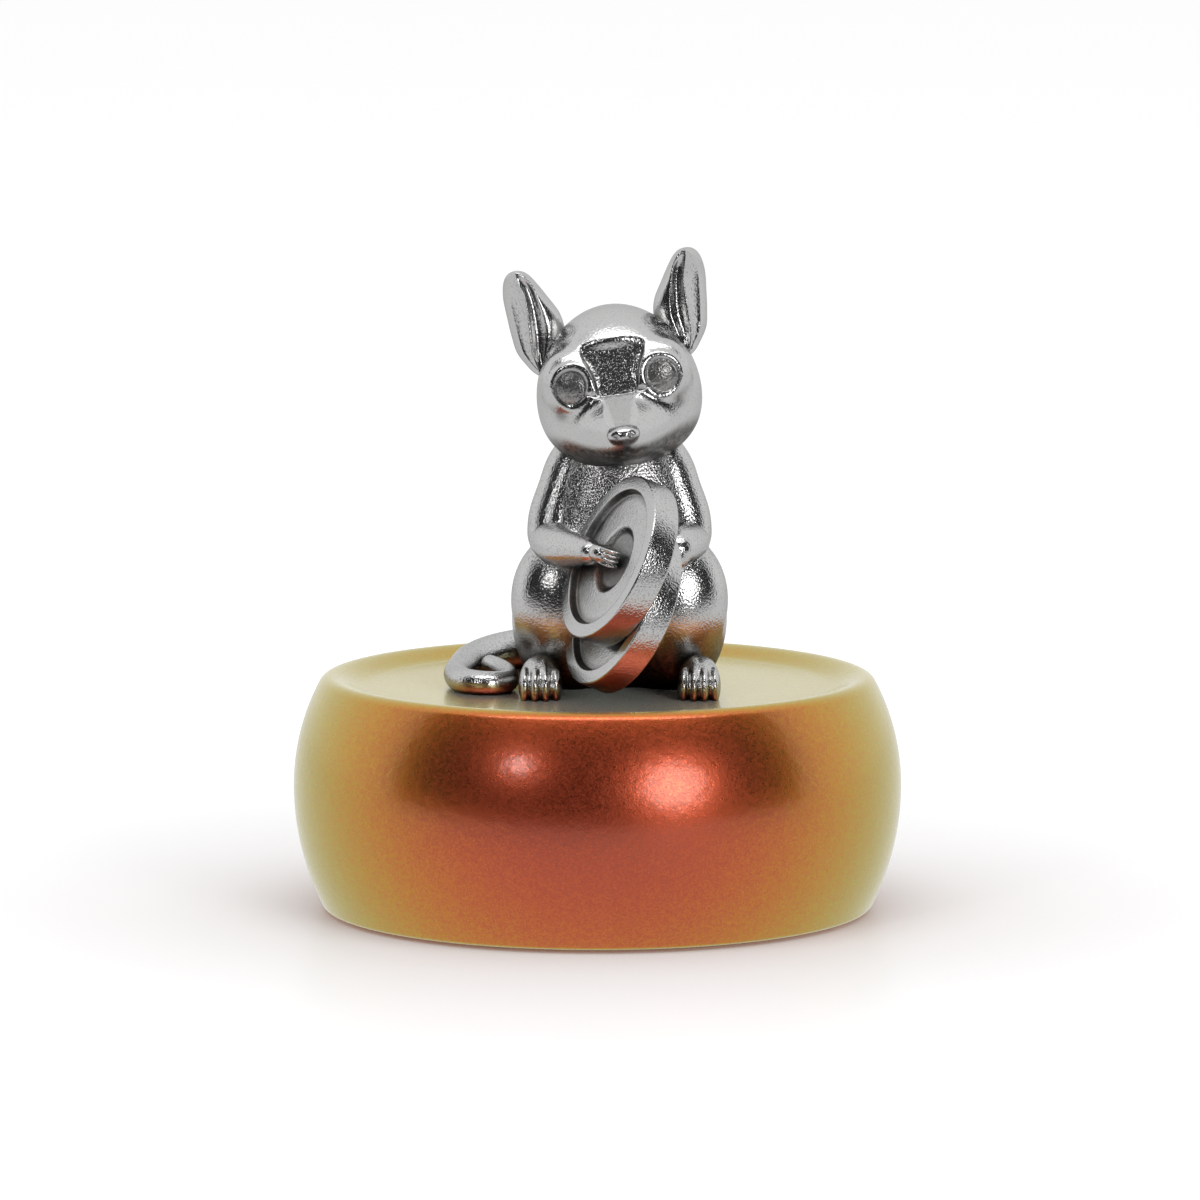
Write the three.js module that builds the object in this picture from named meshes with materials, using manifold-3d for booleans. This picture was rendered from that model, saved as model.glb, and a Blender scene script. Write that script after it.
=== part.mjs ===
// Rat figurine: a polished pewter rat that sits up on a round lacquered base and holds two thick coins.
// Millimetres, +Z up, origin under the middle of the base. The rat faces -Y. Left and right are the
// animal's own, so its left side is +X.

import * as THREE from 'three';
import { mergeVertices } from 'three/addons/utils/BufferGeometryUtils.js';
import Module from 'manifold-3d';

const wasm = await Module();
wasm.setup();

// Fits and fineness
const FIT = 0.3; // gap between pieces that seat on, or are soldered to, each other
const BLEND = 9; // how sharply the lobes of a cast body run into each other
const TURNED_SIDES = 48; // flats round the base and its pad
const COIN_SIDES = 32;
const HARDWARE_SIDES = 16;
const TORSO_GRID = [36, 26]; // sides and rows of a skin
const HEAD_GRID = [38, 28];
const EAR_GRID = [16, 12];
const ARM_GRID = [10, 20];
const FOOT_GRID = [20, 12];
const TAIL_GRID = [8, 48];
const COVE_STEPS = 5;
const SEARCH_STRIDES = 80; // steps in from outside a cast form to its skin, and then halvings of the last one
const SEARCH_HALVINGS = 20;
const LOBE_SWELL = 1.3; // a blended lobe never reaches further than this many times its own half
const RIGHT = -1;
const LEFT = 1;

// Base: a barrel of two arcs with a round rim and a shallow dished deck
const BASE_RADIUS = 34;
const BASE_HEIGHT = 26.4;
const BELLY_HEIGHT = 14.1; // where the base is widest
const LOWER_ARC = 30;
const UPPER_ARC = 24.3;
const RIM_ROUND = 1.5;
const COVE_WIDTH = 4.2; // from the rim's crest in to the flat of the deck
const DISH_DEPTH = 1.2;
const FOOT_ROUND = 0.7;

// Felt pad in a recess under the base
const FELT_THICKNESS = 1.6;
const FELT_PROUD = 0.4;
const FELT_MARGIN = 3.2; // from the base's bottom edge in to the pad

// Screws that hold the rat down from below
const SCREW_DIAMETER = 3;
const SCREW_LENGTH = 18;
const THREAD_DEPTH = 6; // screw length inside the rat
const SCREW_HEAD_DIAMETER = 5.6;
const SCREW_HEAD_HEIGHT = 2.2;
const SOCKET_WIDTH = 2.5;
const SOCKET_DEPTH = 1.3;
const WASHER_DIAMETER = 7;
const WASHER_THICKNESS = 0.8;
const COUNTERBORE_MARGIN = 0.5;
const SCREW_SPACING = 12;
const SCREW_BACK = 2.5; // the screws stand this far behind the rat's middle

// Torso: haunches, rump, belly, chest and neck
const FIGURE_SHIFT = 2.45; // the rat sits off centre, to leave room for its tail
const HAUNCH_SPAN = 24;
const HAUNCH_THICKNESS = 11;
const HAUNCH_LENGTH = 18.4;
const HAUNCH_HEIGHT = 16.6;
const HAUNCH_FORWARD = 0.8;
const SEAT_SINK = 1; // how much of the haunches' round is cut flat by the deck
const RUMP_WIDTH = 17;
const RUMP_LENGTH = 16;
const RUMP_HEIGHT = 17;
const RUMP_BACK = 3.4;
const BACK_WIDTH = 17;
const BACK_LENGTH = 14;
const BACK_HEIGHT = 20;
const BACK_MIDDLE = 13.6; // height of the arched back's middle above the deck
const CHEST_WIDTH = 15.6;
const CHEST_LENGTH = 12.4;
const CHEST_HEIGHT = 22;
const CHEST_MIDDLE = 17.5; // height of the chest's middle above the deck
const NECK_WIDTH = 13;
const NECK_HEIGHT = 10;
const NECK_DROP = 4.4; // the neck's top below the head's middle
const NECK_FORWARD = 1.4;

// Head
const HEAD_MIDDLE = 34.4; // above the deck
const HEAD_FORWARD = 3;
const HEAD_SHIFT = -0.3;
const HEAD_ROLL = THREE.MathUtils.degToRad(8); // the left cheek is held higher
const SKULL_WIDTH = 15.8;
const SKULL_LENGTH = 16.6;
const SKULL_HEIGHT = 15.3;
const SKULL_RISE = 0.8;
const SKULL_BACK = 1;
const CHEEK_SPAN = 18.2;
const CHEEK_SIZE = 10;
const CHEEK_DROP = 1.9;
const CHEEK_FORWARD = 1.2;
const MUZZLE_WIDTH = 6;
const MUZZLE_LENGTH = 9.1;
const MUZZLE_HEIGHT = 5.4;
const MUZZLE_REACH = 11.4; // nose tip in front of the head's middle
const MUZZLE_DROP = 4.2;
const NOSE_SIZE = 2;
const NOSE_DROP = 4.4;
const NOSE_PROUD = 0.5; // nose tip in front of the muzzle's
const BRIDGE_WIDTH = 9; // where the muzzle runs into the face
const BRIDGE_LENGTH = 9.6;
const BRIDGE_DROP = 2.4;
const CHIN_WIDTH = 6.6;
const CHIN_DROP = 8.5;
const EYE_SPACING = 10.2;
const EYE_WIDTH = 4.2;
const EYE_LENGTH = 3.4;
const EYE_HEIGHT = 4.6;
const EYE_RISE = 0.9;
const EYE_FORWARD = 4.5;

// Ears: cupped leaves let into the head
const EAR_LENGTH = 11.9;
const EAR_WIDTH = 6;
const EAR_ROOT_WIDTH = 4.1;
const EAR_THICKNESS = 1.5;
const EAR_CUP = 1.1;
const EAR_RISE = 0.9; // the lower end above the middle of the skull
const EAR_BACK = 1;
const EAR_SINK = 0.5; // the ear's middle line inside the skull's side
const EAR_SPLAY = THREE.MathUtils.degToRad(10);

// Coins, one in front of the other, both turned to the rat's right and tipped up
const COIN_DIAMETER = 19;
const COIN_THICKNESS = 3;
const COIN_RIM = 1.55;
const COIN_BEVEL = 0.4;
const COIN_STEP = 0.8;
const COIN_EYE = 8; // sunk middle
const COIN_EYE_DEPTH = 0.3;
const COIN_STAGGER = 4.5; // the front coin stands this much higher in its own plane
const COIN_OVERHANG = 1.6; // and this much further forward in it
const COIN_CLEARANCE = 0.8; // under the rear coin
const COIN_SWING = THREE.MathUtils.degToRad(66.8); // about Z, away from facing forward
const COIN_TILT = THREE.MathUtils.degToRad(23.6);
const COIN_BITE = 3.2; // depth of the rear coin's edge in the belly
const COIN_SHIFT = 1.9; // the rear coin's back is this far left of the rat's middle

// Arms, hind feet and tail
const SHOULDER_THICK = 6.6;
const ARM_THICK = 4.6;
const WRIST_THICK = 2.5;
const ELBOW_THICK = 4.2;
const PAW_THICK = 3;
const PAW_BITE = 0.6; // how much of the paw's round a coin cuts off
const PAW_RISE = 5.2; // the left paw above the rear coin's middle
const SHOULDER_HEIGHT = 24.4;
const SHOULDER_SINK = 2.6;
const SHOULDER_FORWARD = 0.8;
const ARM_BULGE = 0.5; // the upper arm's bow, outwards and back
const WRIST_PLACE = 0.62; // share of the way from the elbow to the paw
const WRIST_LIFT = 0.5; // the right wrist off the coin's face
const ELBOW_HEIGHT = 17.1;
const ELBOW_INSET = 3.9; // the elbow's middle inside the haunch's side
const ELBOW_FORWARD = 5.6;
const FOOT_INSET = 0.9; // the foot's outer edge inside the haunch's side
const FOOT_WIDTH = 4.7;
const FOOT_LENGTH = 9.6;
const FOOT_HEIGHT = 4.8;
const FOOT_SINK = 0.4; // how much of the foot's round is cut flat by the deck
const FOOT_FRONT = 14.2; // toe tips in front of the rat's middle
const TOES = 4;
const TOE_LENGTH = 3.8;
const TOE_HEIGHT = 3.4;
const TOE_SWELL = 0.1; // each toe is this much wider than its share of the foot
const TOE_PROUD = 0.5; // the toes reach in front of the rest of the foot
const TAIL_ROOT_THICK = 5;
const TAIL_TIP_THICK = 1.7;
const TAIL_CLEARANCE = 0.1;
const TAIL_TAPER = 0.6; // below 1, the tail thins most near its root

// Finishes
const pewter = new THREE.MeshStandardMaterial({ color: 0xb8b8b5, roughness: 0.22, metalness: 1 });
const lacquer = new THREE.MeshStandardMaterial({ color: 0xa34a2a, roughness: 0.35, metalness: 0.6 });
const felt = new THREE.MeshStandardMaterial({ color: 0x1d1d1f, roughness: 0.95, metalness: 0 });
const steel = new THREE.MeshStandardMaterial({ color: 0x8f9396, roughness: 0.4, metalness: 1 });

// Keeps only the shared corners of a geometry and drops the triangles that have no area
function closed(geometry) {
  const bare = geometry.clone();
  bare.deleteAttribute('normal');
  bare.deleteAttribute('uv');
  const merged = mergeVertices(bare, 1e-4);
  const corners = merged.index.array;
  const kept = [];
  for (let i = 0; i < corners.length; i += 3) {
    const [a, b, c] = corners.slice(i, i + 3);
    if (a !== b && b !== c && c !== a) kept.push(a, b, c);
  }
  merged.setIndex(kept);
  return merged;
}

function toSolid(geometry) {
  const bare = closed(geometry);
  const vertProperties = new Float32Array(bare.attributes.position.array);
  const triVerts = new Uint32Array(bare.index.array);
  return new wasm.Manifold(new wasm.Mesh({ numProp: 3, vertProperties, triVerts }));
}

// The same form with its skin moved out by the gap, to cut a seat for it
function seatOf(geometry) {
  const bare = closed(geometry);
  bare.computeVertexNormals();
  const { position, normal } = bare.attributes;
  for (let i = 0; i < position.count; i += 1) {
    position.setXYZ(
      i,
      position.getX(i) + FIT * normal.getX(i),
      position.getY(i) + FIT * normal.getY(i),
      position.getZ(i) + FIT * normal.getZ(i),
    );
  }
  return toSolid(bare);
}

// The solid after all the cuts, without any loose sliver that they leave
function cut(solid, cutters) {
  const rest = cutters.reduce((body, cutter) => body.subtract(cutter), solid);
  return rest.decompose().reduce((best, piece) => (piece.volume() > best.volume() ? piece : best));
}

function toMesh(name, solid, material) {
  const { vertProperties, triVerts } = solid.getMesh();
  const geometry = new THREE.BufferGeometry();
  geometry.setAttribute('position', new THREE.BufferAttribute(vertProperties, 3));
  geometry.setIndex(new THREE.BufferAttribute(triVerts, 1));
  geometry.computeVertexNormals();
  const mesh = new THREE.Mesh(geometry, material);
  mesh.name = name;
  return mesh;
}

// A profile of [radius, height] points turned about Z
function turned(profile, sides) {
  const points = profile.map(([radius, height]) => new THREE.Vector2(radius, height));
  return new THREE.LatheGeometry(points, sides).rotateX(Math.PI / 2);
}

function upright(radius, from, to, sides = HARDWARE_SIDES) {
  const rod = new THREE.CylinderGeometry(radius, radius, to - from, sides).rotateX(Math.PI / 2);
  return rod.translate(0, 0, (from + to) / 2);
}

// Points on an arc in the profile plane, from one angle to another
function arc(centre, radius, from, to, count) {
  return Array.from({ length: count + 1 }, (_, i) => {
    const angle = from + ((to - from) * i) / count;
    return [centre[0] + radius * Math.cos(angle), centre[1] + radius * Math.sin(angle)];
  });
}

const lobe = (middle, size) => ({ middle, half: size.map((length) => length / 2) });

// Sum of the lobes' fields at a point: 1 on the skin of a lone lobe, more where lobes meet
function fieldAt(lobes, point) {
  return lobes.reduce((sum, { middle, half }) => {
    const away = Math.hypot(...middle.map((m, axis) => (point.getComponent(axis) - m) / half[axis]));
    return sum + Math.exp(BLEND * (1 - away));
  }, 0);
}

// A cast form of blended lobes: along each ray from the centre, the skin lies where the field falls to 1
function blended(lobes, centre, sides, rows) {
  const geometry = new THREE.SphereGeometry(1, sides, rows).rotateX(Math.PI / 2);
  const { position } = geometry.attributes;
  const middle = new THREE.Vector3(...centre);
  const ray = new THREE.Vector3();
  const skinAt = (reach) => ray.clone().multiplyScalar(reach).add(middle);
  const farthest = Math.max(
    ...lobes.map((l) => middle.distanceTo(new THREE.Vector3(...l.middle)) + LOBE_SWELL * Math.max(...l.half)),
  );
  const stride = farthest / SEARCH_STRIDES;
  for (let i = 0; i < position.count; i += 1) {
    ray.fromBufferAttribute(position, i).normalize();
    let outside = farthest;
    while (outside > 0 && fieldAt(lobes, skinAt(outside)) < 1) outside -= stride;
    let inside = outside;
    outside += stride;
    for (let halving = 0; halving < SEARCH_HALVINGS; halving += 1) {
      const between = (inside + outside) / 2;
      if (fieldAt(lobes, skinAt(between)) < 1) outside = between;
      else inside = between;
    }
    position.setXYZ(i, ...skinAt(inside).toArray());
  }
  return geometry;
}

// A sphere drawn out along a smooth route, with the thickness at each point and rounded ends
function drawn(route, thickness, sides, steps) {
  const curve = new THREE.CatmullRomCurve3(route.map((point) => new THREE.Vector3(...point)));
  const frames = curve.computeFrenetFrames(steps, false);
  const length = curve.getLength();
  const geometry = new THREE.SphereGeometry(1, sides, steps);
  const { position } = geometry.attributes;
  for (let step = 0; step <= steps; step += 1) {
    const along = step / steps;
    const middle = curve.getPointAt(along);
    const place = curve.getUtoTmapping(along) * (thickness.length - 1);
    const before = Math.min(Math.floor(place), thickness.length - 2);
    const radius = THREE.MathUtils.lerp(thickness[before], thickness[before + 1], place - before) / 2;
    const fromEnd = Math.min(along, 1 - along) * length;
    const round = Math.sqrt(1 - Math.max(0, 1 - fromEnd / radius) ** 2);
    for (let side = 0; side <= sides; side += 1) {
      const angle = (2 * Math.PI * (side % sides)) / sides;
      const skin = middle
        .clone()
        .addScaledVector(frames.normals[step], -radius * round * Math.cos(angle))
        .addScaledVector(frames.binormals[step], radius * round * Math.sin(angle));
      position.setXYZ(step * (sides + 1) + side, skin.x, skin.y, skin.z);
    }
  }
  return geometry;
}

// Base and what fastens the rat to it
const deck = BASE_HEIGHT - DISH_DEPTH;
const seat = deck + FIT; // the rat's own floor
const lowerMiddle = [BASE_RADIUS - LOWER_ARC, BELLY_HEIGHT];
const upperMiddle = [BASE_RADIUS - UPPER_ARC, BELLY_HEIGHT];
const rimHeight = BASE_HEIGHT - RIM_ROUND;
const rimAngle = Math.asin((rimHeight - BELLY_HEIGHT) / (UPPER_ARC - RIM_ROUND));
const crest = upperMiddle[0] + (UPPER_ARC - RIM_ROUND) * Math.cos(rimAngle);
const footAngle = -Math.asin((BELLY_HEIGHT - FELT_PROUD - FOOT_ROUND) / (LOWER_ARC - FOOT_ROUND));
const footRadius = lowerMiddle[0] + (LOWER_ARC - FOOT_ROUND) * Math.cos(footAngle);
const feltRadius = footRadius - FELT_MARGIN;
const recess = FELT_THICKNESS + FIT;

function baseProfile() {
  const cove = Array.from({ length: COVE_STEPS }, (_, i) => {
    const along = (i + 1) / COVE_STEPS;
    const drop = along * along * (3 - 2 * along);
    return [crest - COVE_WIDTH * along, BASE_HEIGHT - DISH_DEPTH * drop];
  });
  return [
    [0, recess],
    [feltRadius + FIT, recess],
    [feltRadius + FIT, FELT_PROUD],
    ...arc([footRadius, FELT_PROUD + FOOT_ROUND], FOOT_ROUND, -Math.PI / 2, footAngle, 3),
    ...arc(lowerMiddle, LOWER_ARC, footAngle, 0, 6).slice(1),
    ...arc(upperMiddle, UPPER_ARC, 0, rimAngle, 5).slice(1),
    ...arc([crest, rimHeight], RIM_ROUND, rimAngle, Math.PI / 2, 4).slice(1),
    ...cove,
    [0, deck],
  ];
}

const screwTop = seat + THREAD_DEPTH;
const screwSeat = screwTop - SCREW_LENGTH; // where the screw's head meets its shank
const screwBottom = screwSeat - SCREW_HEAD_HEIGHT;
const washerBottom = screwSeat + FIT;
const counterboreTop = washerBottom + WASHER_THICKNESS + FIT;
const screwPlaces = [RIGHT, LEFT].map((side) => [
  FIGURE_SHIFT + (side * SCREW_SPACING) / 2,
  SCREW_BACK,
]);

function screwHoles() {
  return screwPlaces.flatMap(([x, y]) => [
    toSolid(upright(SCREW_DIAMETER / 2 + FIT, 0, BASE_HEIGHT).translate(x, y, 0)),
    toSolid(
      upright(WASHER_DIAMETER / 2 + COUNTERBORE_MARGIN, 0, counterboreTop, 2 * HARDWARE_SIDES)
        .translate(x, y, 0),
    ),
  ]);
}

function screw(x, y) {
  const profile = [
    [0, screwBottom],
    [SCREW_HEAD_DIAMETER / 2, screwBottom],
    [SCREW_HEAD_DIAMETER / 2, screwSeat],
    [SCREW_DIAMETER / 2, screwSeat],
    [SCREW_DIAMETER / 2, screwTop],
    [0, screwTop],
  ];
  const hexagon = upright(SOCKET_WIDTH / Math.sqrt(3), screwBottom - FIT, screwBottom + SOCKET_DEPTH, 6);
  const body = toSolid(turned(profile, HARDWARE_SIDES).translate(x, y, 0));
  return cut(body, [toSolid(hexagon.translate(x, y, 0))]);
}

function washer(x, y) {
  const bore = SCREW_DIAMETER / 2 + FIT;
  const profile = [
    [bore, washerBottom],
    [WASHER_DIAMETER / 2, washerBottom],
    [WASHER_DIAMETER / 2, washerBottom + WASHER_THICKNESS],
    [bore, washerBottom + WASHER_THICKNESS],
    [bore, washerBottom],
  ];
  return toSolid(turned(profile, HARDWARE_SIDES).translate(x, y, 0));
}

const feltProfile = [
  [0, 0],
  [feltRadius, 0],
  [feltRadius, FELT_THICKNESS],
  [0, FELT_THICKNESS],
];

// Rat, in its own frame: Z is 0 on its floor, X is 0 in its middle
const haunchMiddle = HAUNCH_HEIGHT / 2 - SEAT_SINK;
const haunchSide = (HAUNCH_SPAN - HAUNCH_THICKNESS) / 2;
const footSide = HAUNCH_SPAN / 2 - FOOT_INSET; // outer edge of a hind foot

function torsoForm() {
  const haunches = [RIGHT, LEFT].map((side) =>
    lobe(
      [side * haunchSide, -HAUNCH_FORWARD, haunchMiddle],
      [HAUNCH_THICKNESS, HAUNCH_LENGTH, HAUNCH_HEIGHT],
    ));
  const rump = lobe(
    [0, RUMP_BACK, RUMP_HEIGHT / 2 - SEAT_SINK],
    [RUMP_WIDTH, RUMP_LENGTH, RUMP_HEIGHT],
  );
  const back = lobe([0, RUMP_BACK / 2, BACK_MIDDLE], [BACK_WIDTH, BACK_LENGTH, BACK_HEIGHT]);
  const chest = lobe([0, 0, CHEST_MIDDLE], [CHEST_WIDTH, CHEST_LENGTH, CHEST_HEIGHT]);
  const neck = lobe(
    [0, -NECK_FORWARD, HEAD_MIDDLE - NECK_DROP - NECK_HEIGHT / 2],
    [NECK_WIDTH, NECK_WIDTH, NECK_HEIGHT],
  );
  return blended([...haunches, rump, back, chest, neck], back.middle, ...TORSO_GRID);
}

// Places a form made about the head's middle
function onHead(geometry) {
  return geometry.rotateY(-HEAD_ROLL).translate(HEAD_SHIFT, -HEAD_FORWARD, HEAD_MIDDLE);
}

function headForm() {
  const skull = lobe([0, SKULL_BACK, SKULL_RISE], [SKULL_WIDTH, SKULL_LENGTH, SKULL_HEIGHT]);
  const muzzle = lobe(
    [0, MUZZLE_LENGTH / 2 - MUZZLE_REACH, -MUZZLE_DROP],
    [MUZZLE_WIDTH, MUZZLE_LENGTH, MUZZLE_HEIGHT],
  );
  const bridge = lobe(
    [0, -MUZZLE_REACH / 2, -BRIDGE_DROP],
    [BRIDGE_WIDTH, BRIDGE_LENGTH, BRIDGE_WIDTH],
  );
  const nose = lobe([0, NOSE_SIZE / 2 - NOSE_PROUD - MUZZLE_REACH, -NOSE_DROP], Array(3).fill(NOSE_SIZE));
  const chinHeight = 2 * (CHIN_DROP - MUZZLE_DROP) - MUZZLE_HEIGHT / 2;
  const chin = lobe(
    [0, -MUZZLE_REACH / 2, chinHeight / 2 - CHIN_DROP],
    [CHIN_WIDTH, CHIN_WIDTH, chinHeight],
  );
  const paired = [RIGHT, LEFT].flatMap((side) => {
    const cheekSide = (CHEEK_SPAN - CHEEK_SIZE) / 2;
    const eyeSide = EYE_SPACING / 2;
    return [
      lobe([side * cheekSide, -CHEEK_FORWARD, -CHEEK_DROP], Array(3).fill(CHEEK_SIZE)),
      lobe([side * eyeSide, -EYE_FORWARD, EYE_RISE], [EYE_WIDTH, EYE_LENGTH, EYE_HEIGHT]),
    ];
  });
  const heart = [0, -CHEEK_FORWARD, SKULL_RISE - CHEEK_DROP];
  return onHead(blended([skull, bridge, muzzle, nose, chin, ...paired], heart, ...HEAD_GRID));
}

// A flattened sphere, narrower at its root and hollowed towards the front
function earForm(side) {
  const geometry = new THREE.SphereGeometry(1, ...EAR_GRID);
  const { position } = geometry.attributes;
  for (let i = 0; i < position.count; i += 1) {
    const [across, through, along] = [position.getX(i), position.getZ(i), position.getY(i)];
    const width = THREE.MathUtils.lerp(EAR_ROOT_WIDTH, EAR_WIDTH, (along + 1) / 2);
    const hollow = EAR_CUP * (1 - across * across) * (1 - along * along);
    position.setXYZ(
      i,
      (across * width) / 2,
      hollow - (through * EAR_THICKNESS) / 2,
      ((along + 1) * EAR_LENGTH) / 2,
    );
  }
  const root = [side * (SKULL_WIDTH / 2 - EAR_SINK), EAR_BACK, SKULL_RISE + EAR_RISE];
  return onHead(geometry.rotateY(side * EAR_SPLAY).translate(...root));
}

// Frame of the coins: the way the faces look, and the way up across a face
const coinFacing = new THREE.Vector3(
  -Math.sin(COIN_SWING) * Math.cos(COIN_TILT),
  -Math.cos(COIN_SWING) * Math.cos(COIN_TILT),
  Math.sin(COIN_TILT),
);
const coinUp = new THREE.Vector3(0, 0, 1).addScaledVector(coinFacing, -coinFacing.z).normalize();
const coinAcross = new THREE.Vector3().crossVectors(coinUp, coinFacing);
const coinTurn = new THREE.Matrix4().makeBasis(coinAcross, coinUp, coinFacing);
const coinRadius = COIN_DIAMETER / 2;
const rearCoin = new THREE.Vector3(
  COIN_SHIFT - COIN_THICKNESS / 2,
  COIN_BITE - CHEST_LENGTH / 2 - coinRadius * Math.abs(coinAcross.y) - COIN_THICKNESS / 2,
  COIN_CLEARANCE + coinRadius * coinUp.z + (COIN_THICKNESS / 2) * coinFacing.z,
);
const frontCoin = rearCoin
  .clone()
  .addScaledVector(coinFacing, COIN_THICKNESS + FIT)
  .addScaledVector(coinUp, COIN_STAGGER)
  .addScaledVector(coinAcross, COIN_OVERHANG);

function coinForm(middle) {
  const half = COIN_THICKNESS / 2;
  const eye = COIN_EYE / 2;
  const ring = coinRadius - COIN_RIM - COIN_BEVEL;
  const face = [
    [0, half - COIN_STEP - COIN_EYE_DEPTH],
    [eye - COIN_BEVEL / 2, half - COIN_STEP - COIN_EYE_DEPTH],
    [eye, half - COIN_STEP],
    [ring, half - COIN_STEP],
    [ring + COIN_BEVEL, half],
    [coinRadius, half],
  ];
  const back = face.map(([radius, height]) => [radius, -height]);
  const disc = turned([...back, ...face.reverse()], COIN_SIDES);
  return disc.applyMatrix4(coinTurn).translate(...middle.toArray());
}

// The right paw lies in the front coin's middle, the left one holds the rear coin's back
function pawPlace(side) {
  if (side === RIGHT) {
    const lift = COIN_THICKNESS / 2 - COIN_STEP + PAW_THICK / 2 - PAW_BITE;
    return frontCoin.clone().addScaledVector(coinFacing, lift);
  }
  return rearCoin
    .clone()
    .addScaledVector(coinFacing, PAW_BITE - (COIN_THICKNESS + PAW_THICK) / 2)
    .addScaledVector(coinUp, PAW_RISE);
}

function armForm(side) {
  const shoulder = [side * (CHEST_WIDTH / 2 - SHOULDER_SINK), -SHOULDER_FORWARD, SHOULDER_HEIGHT];
  const elbow = [side * (HAUNCH_SPAN / 2 - ELBOW_INSET), -ELBOW_FORWARD, ELBOW_HEIGHT];
  const upper = [
    (shoulder[0] + elbow[0]) / 2 + side * ARM_BULGE,
    (shoulder[1] + elbow[1]) / 2 + ARM_BULGE,
    (shoulder[2] + elbow[2]) / 2,
  ];
  const paw = pawPlace(side);
  const wrist = new THREE.Vector3(...elbow).lerp(paw, WRIST_PLACE);
  if (side === RIGHT) wrist.addScaledVector(coinFacing, WRIST_LIFT);
  const route = [shoulder, upper, elbow, wrist.toArray(), paw.toArray()];
  const thickness = [SHOULDER_THICK, ARM_THICK, ELBOW_THICK, WRIST_THICK, PAW_THICK];
  return drawn(route, thickness, ...ARM_GRID);
}

function footForm(side) {
  const x = side * (footSide - FOOT_WIDTH / 2);
  const heel = lobe(
    [x, FOOT_LENGTH / 2 + TOE_PROUD - FOOT_FRONT, FOOT_HEIGHT / 2 - FOOT_SINK],
    [FOOT_WIDTH, FOOT_LENGTH, FOOT_HEIGHT],
  );
  const toePitch = FOOT_WIDTH / TOES;
  const toes = Array.from({ length: TOES }, (_, i) =>
    lobe(
      [x + toePitch * (i - (TOES - 1) / 2), TOE_LENGTH / 2 - FOOT_FRONT, TOE_HEIGHT / 2 - FOOT_SINK],
      [toePitch + TOE_SWELL, TOE_LENGTH, TOE_HEIGHT],
    ));
  return blended([heel, ...toes], heel.middle, ...FOOT_GRID);
}

// The tail leaves the rump, lies round the right haunch and curls back inside its own loop
function tailForm() {
  const rumpEnd = RUMP_BACK + RUMP_LENGTH / 2;
  const side = HAUNCH_SPAN / 2;
  const flat = [
    [-1.5, rumpEnd - 3],
    [-5.5, rumpEnd + 1.2],
    [2 - side, rumpEnd + 2],
    [-side - 2.2, rumpEnd - 0.2],
    [-side - 5, 7],
    [-side - 6, 2],
    [-side - 6.3, -3],
    [-side - 5.4, -7.2],
    [-side - 3, -9],
    [-footSide - 2, -8],
    [-footSide - 1.6, -4.6],
    [-footSide - 2, -0.8],
    [-footSide - 2.6, 2.4],
  ];
  const thickness = flat.map((_, i) =>
    THREE.MathUtils.lerp(TAIL_ROOT_THICK, TAIL_TIP_THICK, (i / (flat.length - 1)) ** TAIL_TAPER));
  const rise = (i) => (i === 0 ? TAIL_ROOT_THICK / 2 : 0);
  const route = flat.map(([x, y], i) => [x, y, thickness[i] / 2 + TAIL_CLEARANCE + rise(i)]);
  return drawn(route, thickness, ...TAIL_GRID);
}

const floorSize = 4 * BASE_RADIUS;
const floor = toSolid(new THREE.BoxGeometry(floorSize, floorSize, floorSize).translate(0, 0, -floorSize / 2));
const threads = screwPlaces.map(([x, y]) =>
  toSolid(upright(SCREW_DIAMETER / 2 + FIT, -FIT, THREAD_DEPTH + FIT).translate(x - FIGURE_SHIFT, y, 0)));

const forms = {
  torso: torsoForm(),
  head: headForm(),
  coin_front: coinForm(frontCoin),
  coin_rear: coinForm(rearCoin),
  tail: tailForm(),
};
for (const [side, hand] of [[RIGHT, 'right'], [LEFT, 'left']]) {
  forms[`ear_${hand}`] = earForm(side);
  forms[`arm_${hand}`] = armForm(side);
  forms[`hind_foot_${hand}`] = footForm(side);
}
const seats = Object.fromEntries(Object.entries(forms).map(([name, form]) => [name, seatOf(form)]));
const arms = [seats.arm_right, seats.arm_left];
const feet = [seats.hind_foot_right, seats.hind_foot_left];
const ears = [seats.ear_right, seats.ear_left];
const coins = [seats.coin_front, seats.coin_rear];

// What each piece of the rat is cut by: the larger piece holds the seat of the smaller one
const cutters = {
  torso: [floor, ...threads, ...arms, ...feet, ...coins, seats.tail],
  head: [seats.torso, ...arms, ...ears, ...coins],
  coin_front: [],
  coin_rear: [],
  tail: [floor, ...feet],
  ear_right: [],
  ear_left: [],
  arm_right: coins,
  arm_left: coins,
  hind_foot_right: [floor, ...coins],
  hind_foot_left: [floor, ...coins],
};

const figurine = new THREE.Group();
figurine.add(toMesh('base_body', cut(toSolid(turned(baseProfile(), TURNED_SIDES)), screwHoles()), lacquer));
figurine.add(toMesh('felt_pad', toSolid(turned(feltProfile, TURNED_SIDES)), felt));
screwPlaces.forEach(([x, y], i) => {
  figurine.add(toMesh(`figure_screw_${i + 1}`, screw(x, y), steel));
  figurine.add(toMesh(`washer_${i + 1}`, washer(x, y), steel));
});

const rat = new THREE.Group();
rat.position.set(FIGURE_SHIFT, 0, seat);
for (const [name, form] of Object.entries(forms)) {
  rat.add(toMesh(name, cut(toSolid(form), cutters[name]), pewter));
}
figurine.add(rat);

export default figurine;
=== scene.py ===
"""Looks of the rat figurine: a pewter rat with two coins on a round base with colour-shift lacquer.

Shapes are worked out in millimetres and put into the meshes in metres. The rat faces -Y. Left and right
are the animal's own, so its left side is +X.
"""

import math
from typing import NamedTuple

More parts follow.
